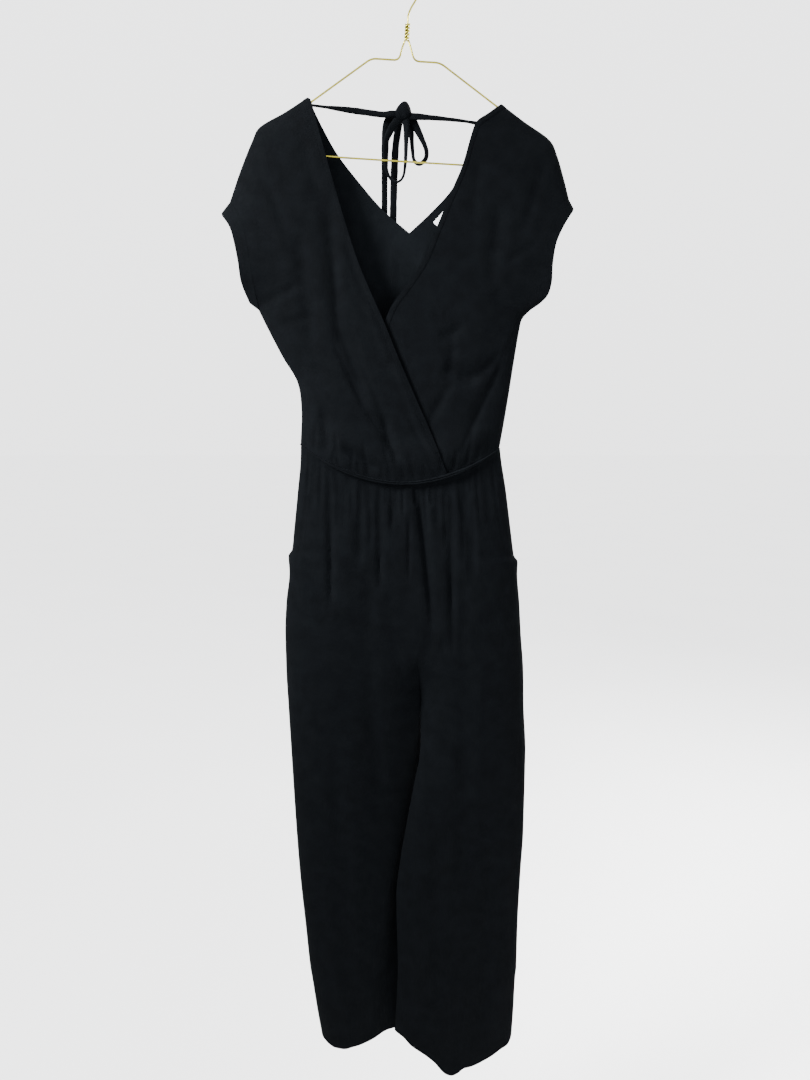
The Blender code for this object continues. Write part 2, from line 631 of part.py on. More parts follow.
def neck_binding(name, grids, weld_tip):
    """A narrow strip over the edge of one or two half panels."""
    sheet = Sheet()
    firsts = []
    for rows, flip in grids:
        strip = strip_points(rows, BINDING_WIDTH, 2)
        strip[0] = [p.lerp(q, 0.12) for p, q in zip(strip[0], strip[1])]
        across = [[[] for _ in row] for row in strip]
        firsts.append(sheet.add_grid(strip, across, flip))
        last = (len(strip) - 1) * 3
    if weld_tip:
        sheet.weld([(firsts[1] + last, firsts[0] + last)])
        for k in (1, 2):
            middle = (sheet.points[firsts[0] + last + k] + sheet.points[firsts[1] + last + k]) / 2
            middle.x = sheet.points[firsts[0] + last].x
            sheet.points[firsts[0] + last + k] = middle
        sheet.weld([(firsts[1] + last + k, firsts[0] + last + k) for k in (1, 2)])
    build_wall(name, sheet, CREPE, thickness=BINDING_THICKNESS,
               offset=CLOTH / 2 + BINDING_GAP + BINDING_THICKNESS / 2)


def cuff(side, front_rows, back_rows):
    """A band round the sleeve's open end, standing on from the cuff seam."""
    outline = OUTLINES[side]
    edge = spread_along(outline.cuff_edge, both_ends(CUFF_ROWS))
    loop = []
    for j in range(CUFF_ROWS + 1):
        point = front_rows[j][-1].copy()
        if j in (0, CUFF_ROWS):
            point.y = 0.0
        loop.append((point, edge[j]))
    for j in range(CUFF_ROWS - 1, 0, -1):
        loop.append((back_rows[j][-1].copy(), edge[j]))
    sheet = Sheet()
    rows = []
    across = []
    for point, end in loop + loop[:1]:
        outward = Vector((end.x, point.y * 1.08, end.y)) - point
        rows.append([point + outward.normalized() * SEAM_GAP, point + outward * 0.5, point + outward])
        flat = Vector((outward.x, 0, outward.z)).normalized()
        across.append([[flat], [flat], [flat]])
    first = sheet.add_grid(rows, across, flip=(side == "left"))
    last = len(loop) * 3
    sheet.weld([(first + last + k, first + k) for k in range(3)])
    build_wall(f"cuff_{side}", sheet, CREPE)


def waist_band():
    """A raised elastic seam that runs over the join of bodice and trousers."""
    count = 22
    loop = []
    for face in ("front", "back"):
        shares = both_ends(count)
        if face == "back":
            shares.reverse()
        for share in shares[:-1]:
            x = WAIST_RIGHT_X + (WAIST_LEFT_X - WAIST_RIGHT_X) * share
            y = 0.0 if share in (0.0, 1.0) else waist_y(face, x)
            loop.append(Vector((x, y, waist_z(face, x))))
    sheet = Sheet()
    rows = []
    across = []
    for point in loop + loop[:1]:
        rows.append([point + Z_AXIS * BAND_HEIGHT * share for share in (0.5, 0.0, -0.5)])
        across.append([[Z_AXIS], [Z_AXIS], [Z_AXIS]])
    first = sheet.add_grid(rows, across, flip=False)
    last = len(loop) * 3
    sheet.weld([(first + last + k, first + k) for k in range(3)])
    for i, normal in enumerate(sheet.normals()):
        from_side = min(sheet.points[i].x - WAIST_RIGHT_X, WAIST_LEFT_X - sheet.points[i].x)
        parted = WRAP_SPACE * smooth_step(from_side / BAND_EASE)
        sheet.points[i] += normal * (CLOTH / 2 + BAND_GAP + BAND_THICKNESS / 2 + parted)
    build_wall("waist_band", sheet, CREPE, thickness=BAND_THICKNESS)


# ---------------------------------------------------------------- trousers
def inside_x(side, z):
    """The inner edge of a trouser panel: the rise seam, then the leg's inseam."""
    if z > CROTCH_Z:
        return table_value(RISE_SEAM, "x", z)
    return table_value(INSEAMS, f"{side}_x", z)


def trouser_y(side, face, x, z, creased=1.0):
    """Y of a trouser panel: half of one wide tube down to the crotch, a leg below it."""
    front = face == "front"
    outer = table_value(TROUSER_SIDES, side, z)
    inner = inside_x(side, z)
    shift = table_value(INSEAMS, f"{side}_y", z)
    folds = relief(TROUSER_FRONT_FOLDS if front else TROUSER_BACK_FOLDS, x, z) * creased
    from_side = abs(x - outer)
    from_inner = abs(inner - x)
    depth = table_value(DEPTHS, "half", z) * (1.0 if front else BACK_FLATNESS)
    body = (depth - folds) * rise(from_side)
    leg = body * rise(from_inner, INSEAM_POWER)
    if side == "right" and front:
        step_x = table_value(LEG_STEP, "x", z)
        leg *= 1 - table_value(LEG_STEP, "cut", z) * smooth_step((x - step_x) / STEP_WIDTH)
    swing = shift * smooth_step(1 - from_inner / LEG_SHIFT_REACH)
    bend = smooth_step((CROTCH_Z + RISE_CURVE - z) / RISE_CURVE)
    sign = -1 if front else 1
    return sign * ((1 - bend) * body + bend * leg) + bend * swing


def trouser_grid(side, face, columns):
    """Rows from the waist to the level of the crotch, then on to the hem."""
    sign = -1 if face == "front" else 1
    inward = 1 if side == "right" else -1
    waist_side = OUTLINES[side].side[-1][0]
    waist_inner = inside_x(side, waist_z(face, 0.0))
    rows = []
    across = []
    for j in range(UPPER_ROWS + LOWER_ROWS + 1):
        row = []
        seams = []
        for i, share in enumerate(both_ends(columns)):
            top_x = waist_side + (waist_inner - waist_side) * share
            top = waist_z(face, top_x) - SEAM_GAP
            hem = table_value(HEMS[side], "z", share)
            if face == "back":
                hem += BACK_HEM_UP * math.sin(math.pi * share)
            if j <= UPPER_ROWS:
                z = top + (CROTCH_Z - top) * j / UPPER_ROWS
            else:
                z = CROTCH_Z + (hem - CROTCH_Z) * (j - UPPER_ROWS) / LOWER_ROWS
            outer = table_value(TROUSER_SIDES, side, z)
            inner = inside_x(side, z)
            x = top_x if j == 0 else outer + (inner - outer) * share
            y = waist_y(face, x) if j == 0 else trouser_y(side, face, x, z)
            directions = []
            if i == 0:
                y = sign * SEAM_GAP / 2
                directions.append(Y_AXIS)
            if i == columns and j <= UPPER_ROWS:
                x -= inward * SEAM_GAP / 2
                directions.append(X_AXIS)
            if i == columns and j >= UPPER_ROWS:
                y += sign * SEAM_GAP / 2
                directions.append(Y_AXIS)
            if j == 0:
                directions.append(Z_AXIS)
            row.append(Vector((x, y, z)))
            seams.append(directions)
        rows.append(row)
        across.append(seams)
    return rows, across


TROUSER_COLUMNS = {"front": 18, "back": 12}
UPPER_ROWS = 9
LOWER_ROWS = 13


def trouser_panel(side, face):
    rows, across = trouser_grid(side, face, TROUSER_COLUMNS[face])
    sheet = Sheet()
    sheet.add_grid(rows, across, flip=((side == "right") != (face == "back")))
    build_wall(f"trouser_{face}_{side}", sheet, CREPE)


def pocket_bag(side):
    """The bag of a side-seam pocket, its two layers together, inside the front."""
    inward = 1 if side == "right" else -1
    rows = []
    for j in range(POCKET_ROWS + 1):
        v = j / POCKET_ROWS
        z = POCKET_TOP + (POCKET_BOTTOM - POCKET_TOP) * v
        outer = table_value(TROUSER_SIDES, side, z)
        width = POCKET_WIDTH * (1 + 0.3 * math.sin(math.pi * v) - 0.5 * v ** 6)
        row = []
        for i in range(POCKET_COLUMNS + 1):
            x = outer + inward * (POCKET_INSET + width * i / POCKET_COLUMNS)
            row.append(Vector((x, trouser_y(side, "front", x, z, creased=0.0), z)))
        rows.append(row)
    sheet = Sheet()
    sheet.add_grid(rows, [[[] for _ in row] for row in rows], flip=(side == "right"))
    build_wall(f"pocket_bag_{side}", sheet, CREPE, thickness=POCKET_THICKNESS, offset=-POCKET_DEPTH)


# ---------------------------------------------------------------- tie, label
def add_tube(name, points, radius, finish, resolution=2):
    """A wire or cord: a curve with a round bevel and filled ends."""
    curve = bpy.data.curves.new(name, "CURVE")
    curve.dimensions = "3D"
    curve.bevel_depth = radius
    curve.bevel_resolution = resolution
    curve.use_fill_caps = True
    spline = curve.splines.new("POLY")
    spline.points.add(len(points) - 1)
    for slot, point in zip(spline.points, points):
        slot.co = (*point, 1.0)
    return add_object(name, curve, finish)


def tie():
    for name, route in TIE_ROUTES.items():
        dense = smooth_curve(route)
        length = sum((b - a).length for a, b in zip(dense, dense[1:]))
        spacing = 2.4 if name.startswith("bow_loop") else 4.5
        count = max(4, round(length / (spacing * TIE_RADIUS)))
        shares = [(k / count + eased) / 2 for k, eased in enumerate(both_ends(count))]
        add_tube(name, spread_along(route, shares), TIE_RADIUS, CREPE)
    knot = bmesh.new()
    bmesh.ops.create_cube(knot, size=2.0)
    for vertex in knot.verts:
        share = KNOT_TOP_SHARE if vertex.co.z > 0 else 1.0
        vertex.co = Vector((vertex.co.x * KNOT_HALF.x * share, vertex.co.y * KNOT_HALF.y,
                            vertex.co.z * KNOT_HALF.z))
    bmesh.ops.translate(knot, verts=knot.verts[:], vec=KNOT_CENTRE)
    data = bpy.data.meshes.new("bow_knot")
    knot.to_mesh(data)
    knot.free()
    item = add_object("bow_knot", data, CREPE)
    bevel = item.modifiers.new("rounded", "BEVEL")
    bevel.width = KNOT_ROUNDING
    bevel.segments = 2


def label():
    """A blank woven label sewn inside the back neck, along the left of the V."""
    corner = Vector(LABEL_CORNER)
    along = Vector(LABEL_RUN).normalized()
    down = Vector((along.y, -along.x))
    rows = []
    for j in range(3):
        row = []
        for i in range(4):
            place = corner + along * LABEL_LENGTH * i / 3 + down * LABEL_WIDTH * j / 2
            row.append(Vector((place.x, bodice_y("back", place.x, place.y), place.y)))
        rows.append(row)
    sheet = Sheet()
    sheet.add_grid(rows, [[[] for _ in row] for row in rows], flip=False)
    build_wall("label", sheet, LABEL, thickness=LABEL_THICKNESS,
               offset=-(CLOTH / 2 + LABEL_GAP + LABEL_THICKNESS / 2))


# ---------------------------------------------------------------- hanger
def hanger_place(x, z):
    """A point of the hanger, given before the hanger tilts about its hook."""
    return Vector((x * math.cos(HANGER_TILT) + z * math.sin(HANGER_TILT), 0.0,
                   z * math.cos(HANGER_TILT) - x * math.sin(HANGER_TILT)))


def arc(centre_x, centre_z, radius, start, end, steps):
    """Points on an arc in the hanger's plane; angles in degrees from +X towards +Z."""
    return [hanger_place(centre_x + radius * math.cos(math.radians(start + (end - start) * k / steps)),
                         centre_z + radius * math.sin(math.radians(start + (end - start) * k / steps)))
            for k in range(steps + 1)]


# Each arm: where it enters the neck of the garment, then the top of its rounded end.
Arm = namedtuple("Arm", "neck_x neck_z end_x end_z")
ARMS = {"right": Arm(0.1214, -0.1725, 0.1700, -0.2080), "left": Arm(0.1288, -0.1670, 0.1790, -0.2055)}


def hanger():
    radius = HOOK_INNER_RADIUS + WIRE_RADIUS
    hook = arc(0.0, -HOOK_INNER_RADIUS, radius, 205, -18, 22)
    neck = [hanger_place(x, z) for x, z in HOOK_NECK]
    stem = [hanger_place(0.0, TWIST_BOTTOM_Z + 0.0004)]
    add_tube("hanger_hook", hook + neck + stem, WIRE_RADIUS, WIRE)
    for side, way in (("right", -1), ("left", 1)):
        arm = ARMS[side]
        spread = [*ARM_NECK, (ARM_FLAT_END - 0.004, ARM_FLAT_Z), (ARM_FLAT_END + 0.003, ARM_FLAT_Z - 0.0022)]
        slope = [(arm.neck_x, arm.neck_z), (arm.end_x - 0.003, arm.end_z + 0.0010)]
        points = [hanger_place(way * x, z) for x, z in spread + slope]
        half = (arm.end_z - BAR_Z) / 2
        bend = [hanger_place(way * (arm.end_x + half * math.sin(math.radians(a))),
                             (arm.end_z + BAR_Z) / 2 + half * math.cos(math.radians(a)))
                for a in range(12, 181, 21)]
        add_tube(f"hanger_arm_{side}", points + bend, WIRE_RADIUS, WIRE)
    bar = [hanger_place(-ARMS["right"].end_x + SEAM_GAP, BAR_Z), hanger_place(0.0, BAR_Z - 0.0006),
           hanger_place(ARMS["left"].end_x - SEAM_GAP, BAR_Z)]
    add_tube("hanger_bar", bar, WIRE_RADIUS, WIRE)


SEAM_PIECES = []


def main():
    for item in list(bpy.data.objects):
        bpy.data.objects.remove(item, do_unlink=True)
    collection = bpy.data.collections.new("jumpsuit_on_hanger")
    bpy.context.scene.collection.children.link(collection)
    for outline in OUTLINES.values():
        for line in (outline.shoulder, outline.side):
            dense = smooth_curve(line, 4)
            SEAM_PIECES.extend(zip(dense, dense[1:]))
    fronts = {side: front_panel(side) for side in ("right", "left")}
    backs = back_panel()
    neck_binding("neck_binding_right", [(fronts["right"][:-2], False)], weld_tip=False)
    neck_binding("neck_binding_left", [(fronts["left"][:-2], True)], weld_tip=False)
    edge = CUFF_ROWS + 1
    neck_binding("neck_binding_back", [(backs["right"][:edge], True), (backs["left"][:edge], False)],
                 weld_tip=True)
    for side in ("right", "left"):
        cuff(side, fronts[side], backs[side])
        trouser_panel(side, "front")
        trouser_panel(side, "back")
        pocket_bag(side)
    waist_band()
    tie()
    label()
    hanger()


main()
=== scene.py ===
"""Looks of the wrap-front jumpsuit on its wire hanger: cloth, tie, wire, light and camera.

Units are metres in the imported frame: +Z is up, the garment's front faces -Y,
the wearer's right side is at -X, and the origin is the inside top of the hook.
Each cloth panel is a thin shell on the form of its solid: the same seam lines
and depths, read on a finer grid, with the small folds and puckers added.
"""
import math
from collections import namedtuple

import bmesh
import bpy
import numpy as np
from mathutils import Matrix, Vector, noise


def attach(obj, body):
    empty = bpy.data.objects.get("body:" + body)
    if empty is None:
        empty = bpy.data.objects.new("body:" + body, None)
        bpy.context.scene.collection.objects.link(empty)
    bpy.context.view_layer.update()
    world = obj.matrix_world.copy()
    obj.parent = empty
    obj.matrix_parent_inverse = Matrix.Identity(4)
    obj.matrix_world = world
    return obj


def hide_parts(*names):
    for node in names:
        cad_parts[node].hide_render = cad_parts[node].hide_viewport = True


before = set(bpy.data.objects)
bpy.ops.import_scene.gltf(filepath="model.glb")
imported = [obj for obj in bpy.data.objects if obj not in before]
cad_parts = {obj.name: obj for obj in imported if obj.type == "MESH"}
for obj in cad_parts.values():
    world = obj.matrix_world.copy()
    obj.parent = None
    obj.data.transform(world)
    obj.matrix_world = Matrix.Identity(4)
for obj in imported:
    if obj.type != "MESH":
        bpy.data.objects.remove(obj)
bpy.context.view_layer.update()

# ---------------------------------------------------------------- camera
CAMERA_AT = (-0.0078, -1.097, -0.5929)
CAMERA_PITCH = math.radians(82.0)       # 8 degrees below the horizon
CAMERA_LENS = 26.0
SENSOR_WIDTH = 36.0


def add_object(name, data):
    """Put a new object with this data into the scene."""
    thing = bpy.data.objects.new(name, data)
    bpy.context.scene.collection.objects.link(thing)
    return thing


def add_camera():
    data = bpy.data.cameras.new("camera")
    data.lens = CAMERA_LENS
    data.sensor_width = SENSOR_WIDTH
    camera = add_object("camera", data)
    camera.location = CAMERA_AT
    camera.rotation_euler = (CAMERA_PITCH, 0.0, 0.0)
    bpy.context.scene.camera = camera


# ---------------------------------------------------------------- sizes
SIDES = ("right", "left")               # of the wearer
INWARD = {"right": 1, "left": -1}       # the way along X from a side to the middle
OUTWARD = {"front": -1, "back": 1}      # the way along Y out of the garment

CLOTH = 0.0009              # thickness of a cloth shell
SEAM_GAP = 0.0002           # from the waist seam to each shell, behind the elastic band
SEAM_LAP = 0.0001           # front and back run into each other where they are sewn together
RISE_LAP = 0.0003           # the trouser halves run into each other at the rise seam
SEAM_REACH = 0.085          # a panel reaches its full depth this far from a seam
SEAM_POWER = 0.6            # how round the fold at a seam is
INSEAM_POWER = 0.75
BACK_FLATNESS = 0.85        # the back hangs flatter than the front

BINDING_WIDTH = 0.0068      # bound edge of the neckline
BINDING_THICKNESS = 0.0007
BINDING_OUT = 0.0005        # from a panel's middle to its binding's middle
BINDING_ROLL = 0.0002       # it stands this much further out along its middle
BINDING_STEPS = 4
BINDING_SHORT = 14          # the front bindings end this many rows above the waist
CUFF_THICKNESS = 0.0012
CUFF_TIP_CUT = 0.10         # the band is a little shorter at its rounded tip
CUFF_TIP_ROWS = 1.6         # over about this many points to either side of it
CUFF_SHARES = np.array([-0.05, 0.1, 0.3, 0.5, 0.7, 0.88, 1.0])     # its points, from seam to edge

BAND_HEIGHT = 0.0052        # elastic seam at the waist
BAND_THICKNESS = 0.0008
BAND_OUT = 0.0044           # its middle stands this far off the mean cloth surface
BAND_CLOSE = 0.0010         # and this far at the side seams, where the wrap isn't doubled
BAND_EASE = 0.060
BAND_FADE = (0.022, 0.060)  # the ridge grows from this far off the side seams, over this length
BAND_SIDE_SHARE = 0.3       # its size at the side seams, as a share of the whole
BAND_COLUMNS = 150
BAND_PULL = 0.5             # how much closer they lie at the side seams
BAND_SWELL = 0.0009
# Its section from top to bottom, two ridges with a groove between them: the height, as a share
# of BAND_HEIGHT, and how far it stands out, as a share of BAND_SWELL.
BAND_SECTION = np.array([(0.5, -1.2), (0.42, 0.1), (0.28, 1.0), (0.14, 0.7), (0.0, -0.1), (-0.14, 0.6),
                         (-0.28, 0.7), (-0.42, -0.9), (-0.5, -3.0)])
PUCKER_DEPTH = 0.0004       # of the elastic seam
BROAD_PUCKERS = 620         # in radians a metre, as are the next two
FINE_PUCKERS = 1130
PUCKER_DRIFT = 47           # the broad ones lie unevenly: they wander at this rate
PUCKER_WANDER = 1.4

WRAP_SPACE = 0.0016         # each front lies this far off the mean front surface
HIDDEN_SPACE = 0.0035       # extra room where the under front runs behind the over front
HIDDEN_START = 0.012        # it moves in from this far outside the wrap edge
HIDDEN_EASE = 0.022         # and over this distance
CLOSE_RISE = 0.200          # up to this far above the waist the wrap's edge lies close on the under front
CLOSE_REACH = 0.020         # and this far in from the edge
CLOSE_SHARE = 0.80          # at the waist it takes up this share of the space between the fronts
WRAP_EASE = 0.030           # the fronts part over this distance from a seam
WAIST_EASE = 0.008          # creases start this far from the waist seam

WAIST_RIGHT_X = -0.1530
WAIST_LEFT_X = 0.1235
WAIST_RIGHT_Z = -0.612
WAIST_LEFT_Z = -0.618       # the hanger's tilt drops the wearer's left side
WAIST_DIP = {"front": 0.050, "back": 0.014}     # how far the seam sags
BLOUSE_OUT = 0.006          # cloth blousing over the waist seam
BLOUSE_UP = 0.030
BLOUSE_SPREAD = 0.023

CROTCH_Z = -0.985
RISE_CURVE = 0.085          # height over which the rise seam curves under
LEG_SHIFT_REACH = 0.120     # width of leg that swings forward or back
HEM_TURN_Z = -1.418         # the top of the deep turned-up hem
HEM_TURN_DEPTH = 0.0006
HEM_TURN_EASE = 0.004

WIRE_RADIUS = 0.0012
WIRE_BEND = 0.007           # how far a bend in the wire reaches to either side of its corner
HOOK_INNER_RADIUS = 0.0168
HOOK_ANGLES = range(205, -5, -14)       # in degrees round the hook, from its free end to its neck
HANGER_TILT = math.radians(3.4)
TWIST_TOP_Z = -0.0705
TWIST_BOTTOM_Z = -0.0905
TWIST_RADIUS = 0.00245
TWIST_TURNS = 2.5
TWIST_STEPS = 60
ARM_FLAT_Z = -0.1145
ARM_FLAT_END = 0.045
ARM_FEET = {"right": 0.0088, "left": 0.0112}    # where each arm turns level below the twist
ARM_KNEE = (0.0056, -0.0985)            # a slight bend between the twist and the foot
ARM_TIP = (0.003, 0.0010)               # how far before and above its round end the shoulder ends
END_ANGLES = range(12, 181, 8)          # in degrees round an arm's end, from its top down to the bar
BAR_Z = -0.2385
BAR_SAG = 0.0006
# The hook's neck, from the end of its round down to the foot of the twist.
HOOK_NECK = [(0.0140, -0.0300), (0.0085, -0.0410), (0.0030, -0.0510), (0.0, -0.0600), (0.0, -0.0700),
             (0.0, TWIST_BOTTOM_Z + 0.0004)]

LABEL_CORNER = (0.0305, -0.3135)
LABEL_RUN = (0.68, 0.73)    # direction of its sewn edge, along the V
LABEL_LENGTH = 0.046
LABEL_WIDTH = 0.020
LABEL_THICKNESS = 0.0005
LABEL_MIDDLE = 0.0012       # from the back panel's inner face to the label's middle
LABEL_ROWS = 16
LABEL_COLUMNS = 30

POCKET_TOP = -0.665
POCKET_BOTTOM = -0.905
POCKET_INSET = 0.024        # from the side seam to the near edge of the bag
POCKET_WIDTH = 0.085
POCKET_BELLY = 0.3          # it widens by this share at half its height
POCKET_TAPER = 0.5          # and narrows by this share at its bottom
POCKET_DEPTH = 0.0085       # how far inside the front it hangs
POCKET_THICKNESS = 0.0016
POCKET_RIPPLE = 0.0006
POCKET_RIPPLES = 90         # in radians a metre
POCKET_ROWS = 40
POCKET_COLUMNS = 24
# The slanted mouth of each side pocket, beside the side seam.
POCKET_MOUTHS = {"right": [(-0.1405, -0.640), (-0.1470, -0.700), (-0.1560, -0.762)],
                 "left": [(0.1120, -0.640), (0.1205, -0.700), (0.1335, -0.762)]}
POCKET_MOUTH_WIDTH = 0.0022
POCKET_MOUTH_DEPTH = 0.0011

STITCH_PITCH = 0.0030
STITCH_LENGTH = 0.0023
STITCH_RADIUS = 0.00019
STITCH_LIFT = 0.00001
STITCH_SIDES = 6
# One stitch as rings of points: where along its length, and how thick.
STITCH_RINGS = [(-0.5, 0.35), (-0.38, 0.85), (0.0, 1.0), (0.38, 0.85), (0.5, 0.35)]
NECK_STITCHES = 3           # the point of each binding row, and of each cuff row, that is stitched
CUFF_STITCHES = 1
POCKET_STITCHES = 0.0042    # from the pocket's mouth
SLOPE_STEP = 0.001          # for measuring how the cloth slopes there

# The grid of each panel.  Its lines lie closer together at the seams, by END_PULL.
BODICE_COLUMNS = 84
CUFF_ROWS = 44
SIDE_ROWS = 84
TROUSER_COLUMNS = 64
UPPER_ROWS = 100
LOWER_ROWS = 118
UPPER_CROWDING = 1.25       # the trousers' upper rows lie closer together at the waist
END_PULL = 0.6

FOLD_OVERRUN = 0.15         # a crease dies out this far past its ends, as a share of its length
FOLD_FADE = 0.35            # and it does so over this share
GATHER_START = 0.002        # from the waist seam
GATHER_SHARP = 0.82         # factor on the width of every gather and tuck
GATHER_DEPTH = 1.2          # factors on the depth of the gathers and of the tucks
TUCK_DEPTH = 0.75
WAVE_DEPTH = 0.0006         # the slow unevenness of hanging cloth
WAVE_SEEDS = {"front": 3.0, "back": 11.0}
BROAD_WAVES = (26, 11)      # noise scale across and down
FINE_WAVES = (70, 34)
FINE_SHARE = 0.45

X_AXIS = np.array((1.0, 0.0, 0.0))
Y_AXIS = np.array((0.0, 1.0, 0.0))
Z_AXIS = np.array((0.0, 0.0, 1.0))
TINY = 1e-12


def table(kind, rows):
    """Rows of numbers as named rows of one kind."""
    return [kind(*row) for row in rows]


# ---------------------------------------------------------------- seam lines and depths
# Seam lines as (x, z) points: the shoulder seam from neck to cuff, the seam
# of the cuff from shoulder to underarm, the cuff's open edge, the side seam.
Outline = namedtuple("Outline", "shoulder cuff_seam cuff_edge side")
OUTLINES = {
    "right": Outline(
        shoulder=[(-0.1362, -0.1600), (-0.166, -0.178), (-0.199, -0.196), (-0.210, -0.214),
                  (-0.227, -0.252), (-0.242, -0.291)],
        cuff_seam=[(-0.242, -0.291), (-0.230, -0.309), (-0.221, -0.336), (-0.216, -0.366),
                   (-0.212, -0.396), (-0.207, -0.430)],
        cuff_edge=[(-0.2545, -0.306), (-0.2415, -0.3245), (-0.2350, -0.346), (-0.2305, -0.370),
                   (-0.2275, -0.396), (-0.219, -0.421)],
        side=[(-0.207, -0.430), (-0.1945, -0.456), (-0.1755, -0.493), (-0.1560, -0.527),
              (-0.1510, -0.565), (-0.1530, -0.612)]),
    "left": Outline(
        shoulder=[(0.119, -0.168), (0.150, -0.190), (0.183, -0.212), (0.194, -0.232),
                  (0.204, -0.262), (0.2115, -0.288)],
        cuff_seam=[(0.2115, -0.288), (0.198, -0.303), (0.186, -0.326), (0.178, -0.350),
                   (0.174, -0.376), (0.171, -0.402), (0.163, -0.430)],
        cuff_edge=[(0.2185, -0.300), (0.204, -0.323), (0.194, -0.346), (0.190, -0.372),
                   (0.1895, -0.395), (0.185, -0.412), (0.175, -0.422)],
        side=[(0.163, -0.430), (0.152, -0.442), (0.148, -0.458), (0.142, -0.497),
              (0.135, -0.546), (0.129, -0.585), (0.1235, -0.6176)]),
}
# The wrap edge of each front, from the neck to the waist.
WRAP_EDGES = {
    "right": [(-0.1362, -0.1600), (-0.1318, -0.1632), (-0.1288, -0.1725), (-0.123, -0.195),
              (-0.111, -0.238), (-0.092, -0.304), (-0.073, -0.363), (-0.055, -0.407),
              (-0.036, -0.449), (-0.015, -0.500), (0.006, -0.548), (0.030, -0.602),
              (0.050, -0.652)],
    "left": [(0.119, -0.168), (0.103, -0.180), (0.090, -0.1885), (0.084, -0.1955), (0.0785, -0.211),
             (0.068, -0.247), (0.056, -0.275), (0.035, -0.324), (0.017, -0.366), (-0.004, -0.398),
             (-0.032, -0.440), (-0.050, -0.520), (-0.063, -0.6465)],
}
# The back neck edge from the shoulder to the V's tip, then the centre back.
BACK_EDGES = {
    "right": [(-0.1362, -0.1600), (-0.1300, -0.1700), (-0.118, -0.193), (-0.098, -0.227),
              (-0.068, -0.264), (-0.038, -0.297), (-0.002, -0.327)],
    "left": [(0.119, -0.168), (0.103, -0.180), (0.090, -0.193), (0.079, -0.227),
             (0.056, -0.270), (0.027, -0.301), (-0.002, -0.327)],
}
CENTRE_BACK = [(-0.002, -0.327), (-0.005, -0.450), (-0.008, -0.626)]

# Half-depth of the hanging bodice and trousers at each height.
Depth = namedtuple("Depth", "z half")
DEPTHS = table(Depth, [
    (-0.150, 0.0125), (-0.200, 0.0125), (-0.300, 0.0145), (-0.420, 0.0170), (-0.540, 0.0190),
    (-0.650, 0.0175), (-0.720, 0.0220), (-0.820, 0.0275), (-0.940, 0.0290), (-1.060, 0.0240),
    (-1.200, 0.0210), (-1.400, 0.0190), (-1.600, 0.0180)])

# Side seams of the trousers; the pockets' lower ends stand out at -0.772.
Sides = namedtuple("Sides", "z right left")
TROUSER_SIDES = table(Sides, [
    (-0.600, -0.1525, 0.1225), (-0.632, -0.1535, 0.1262), (-0.675, -0.158, 0.1335),
    (-0.736, -0.165, 0.1420), (-0.761, -0.168, 0.1455), (-0.770, -0.1735, 0.1470),
    (-0.778, -0.1732, 0.1526), (-0.792, -0.1725, 0.1522), (-0.838, -0.1778, 0.1560),
    (-0.884, -0.1803, 0.1592), (-0.938, -0.1800, 0.1638), (-0.992, -0.178, 0.1655),
    (-1.066, -0.1750, 0.1697), (-1.184, -0.1700, 0.1692), (-1.260, -0.1656, 0.1660),
    (-1.342, -0.1587, 0.1635), (-1.412, -0.1528, 0.1630), (-1.424, -0.1510, 0.1617),
    (-1.484, -0.143, 0.1598), (-1.530, -0.136, 0.1575), (-1.620, -0.1240, 0.1520)])

# The seam from the waist's middle down to the crotch, front and back alike.
Rise = namedtuple("Rise", "z x")
RISE_SEAM = table(Rise, [
    (-0.600, -0.004), (-0.800, 0.003), (-0.985, 0.015)])

# The inseams below the crotch.  The right leg swings behind the left one, so
# its inseam shifts to +Y.
Inner = namedtuple("Inner", "z right_x right_y left_x left_y")
INSEAMS = table(Inner, [
    (-0.985, 0.015, 0.0, 0.015, 0.0), (-1.040, 0.0158, 0.005, 0.0158, -0.005),
    (-1.070, 0.0160, 0.009, 0.0135, -0.008), (-1.100, 0.0140, 0.011, 0.0075, -0.009),
    (-1.135, 0.0105, 0.013, 0.0010, -0.011), (-1.175, 0.0110, 0.015, -0.006, -0.012),
    (-1.220, 0.0140, 0.017, -0.0135, -0.013), (-1.286, 0.018, 0.018, -0.0205, -0.013),
    (-1.400, 0.026, 0.018, -0.0185, -0.013), (-1.520, 0.029, 0.016, -0.0240, -0.012),
    (-1.620, 0.029, 0.016, -0.0270, -0.012)])

# Hem height across each leg, from the side seam (0) to the inseam (1).
Hem = namedtuple("Hem", "across z")
HEMS = {
    "right": table(Hem, [
        (0.00, -1.526), (0.06, -1.535), (0.11, -1.5385), (0.19, -1.5388), (0.30, -1.533), (0.44, -1.5225),
        (0.58, -1.5135), (0.68, -1.512), (1.00, -1.510)]),
    "left": table(Hem, [
        (0.00, -1.527), (0.03, -1.5375), (0.09, -1.5420), (0.16, -1.5500), (0.26, -1.5590), (0.33, -1.5645),
        (0.40, -1.5685), (0.45, -1.5760), (0.50, -1.5790), (0.55, -1.5757), (0.60, -1.5665),
        (0.65, -1.5545), (0.76, -1.5372), (0.86, -1.5255), (0.93, -1.5135), (1.00, -1.5075)]),
}
BACK_HEM_UP = 0.007         # the back hem rides up a little in the middle of a leg

# The fold where the right leg steps back behind the left one.
Step = namedtuple("Step", "z x cut")
LEG_STEP = table(Step, [
    (-1.060, 0.016, 0.0), (-1.120, 0.002, 0.25), (-1.200, -0.014, 0.50), (-1.290, -0.036, 0.62),
    (-1.350, -0.046, 0.56), (-1.420, -0.054, 0.42), (-1.500, -0.056, 0.28), (-1.600, -0.056, 0.20)])
STEP_WIDTH = 0.024
STEP_DEEPER = 1.3           # the thin cloth folds in deeper than the solid

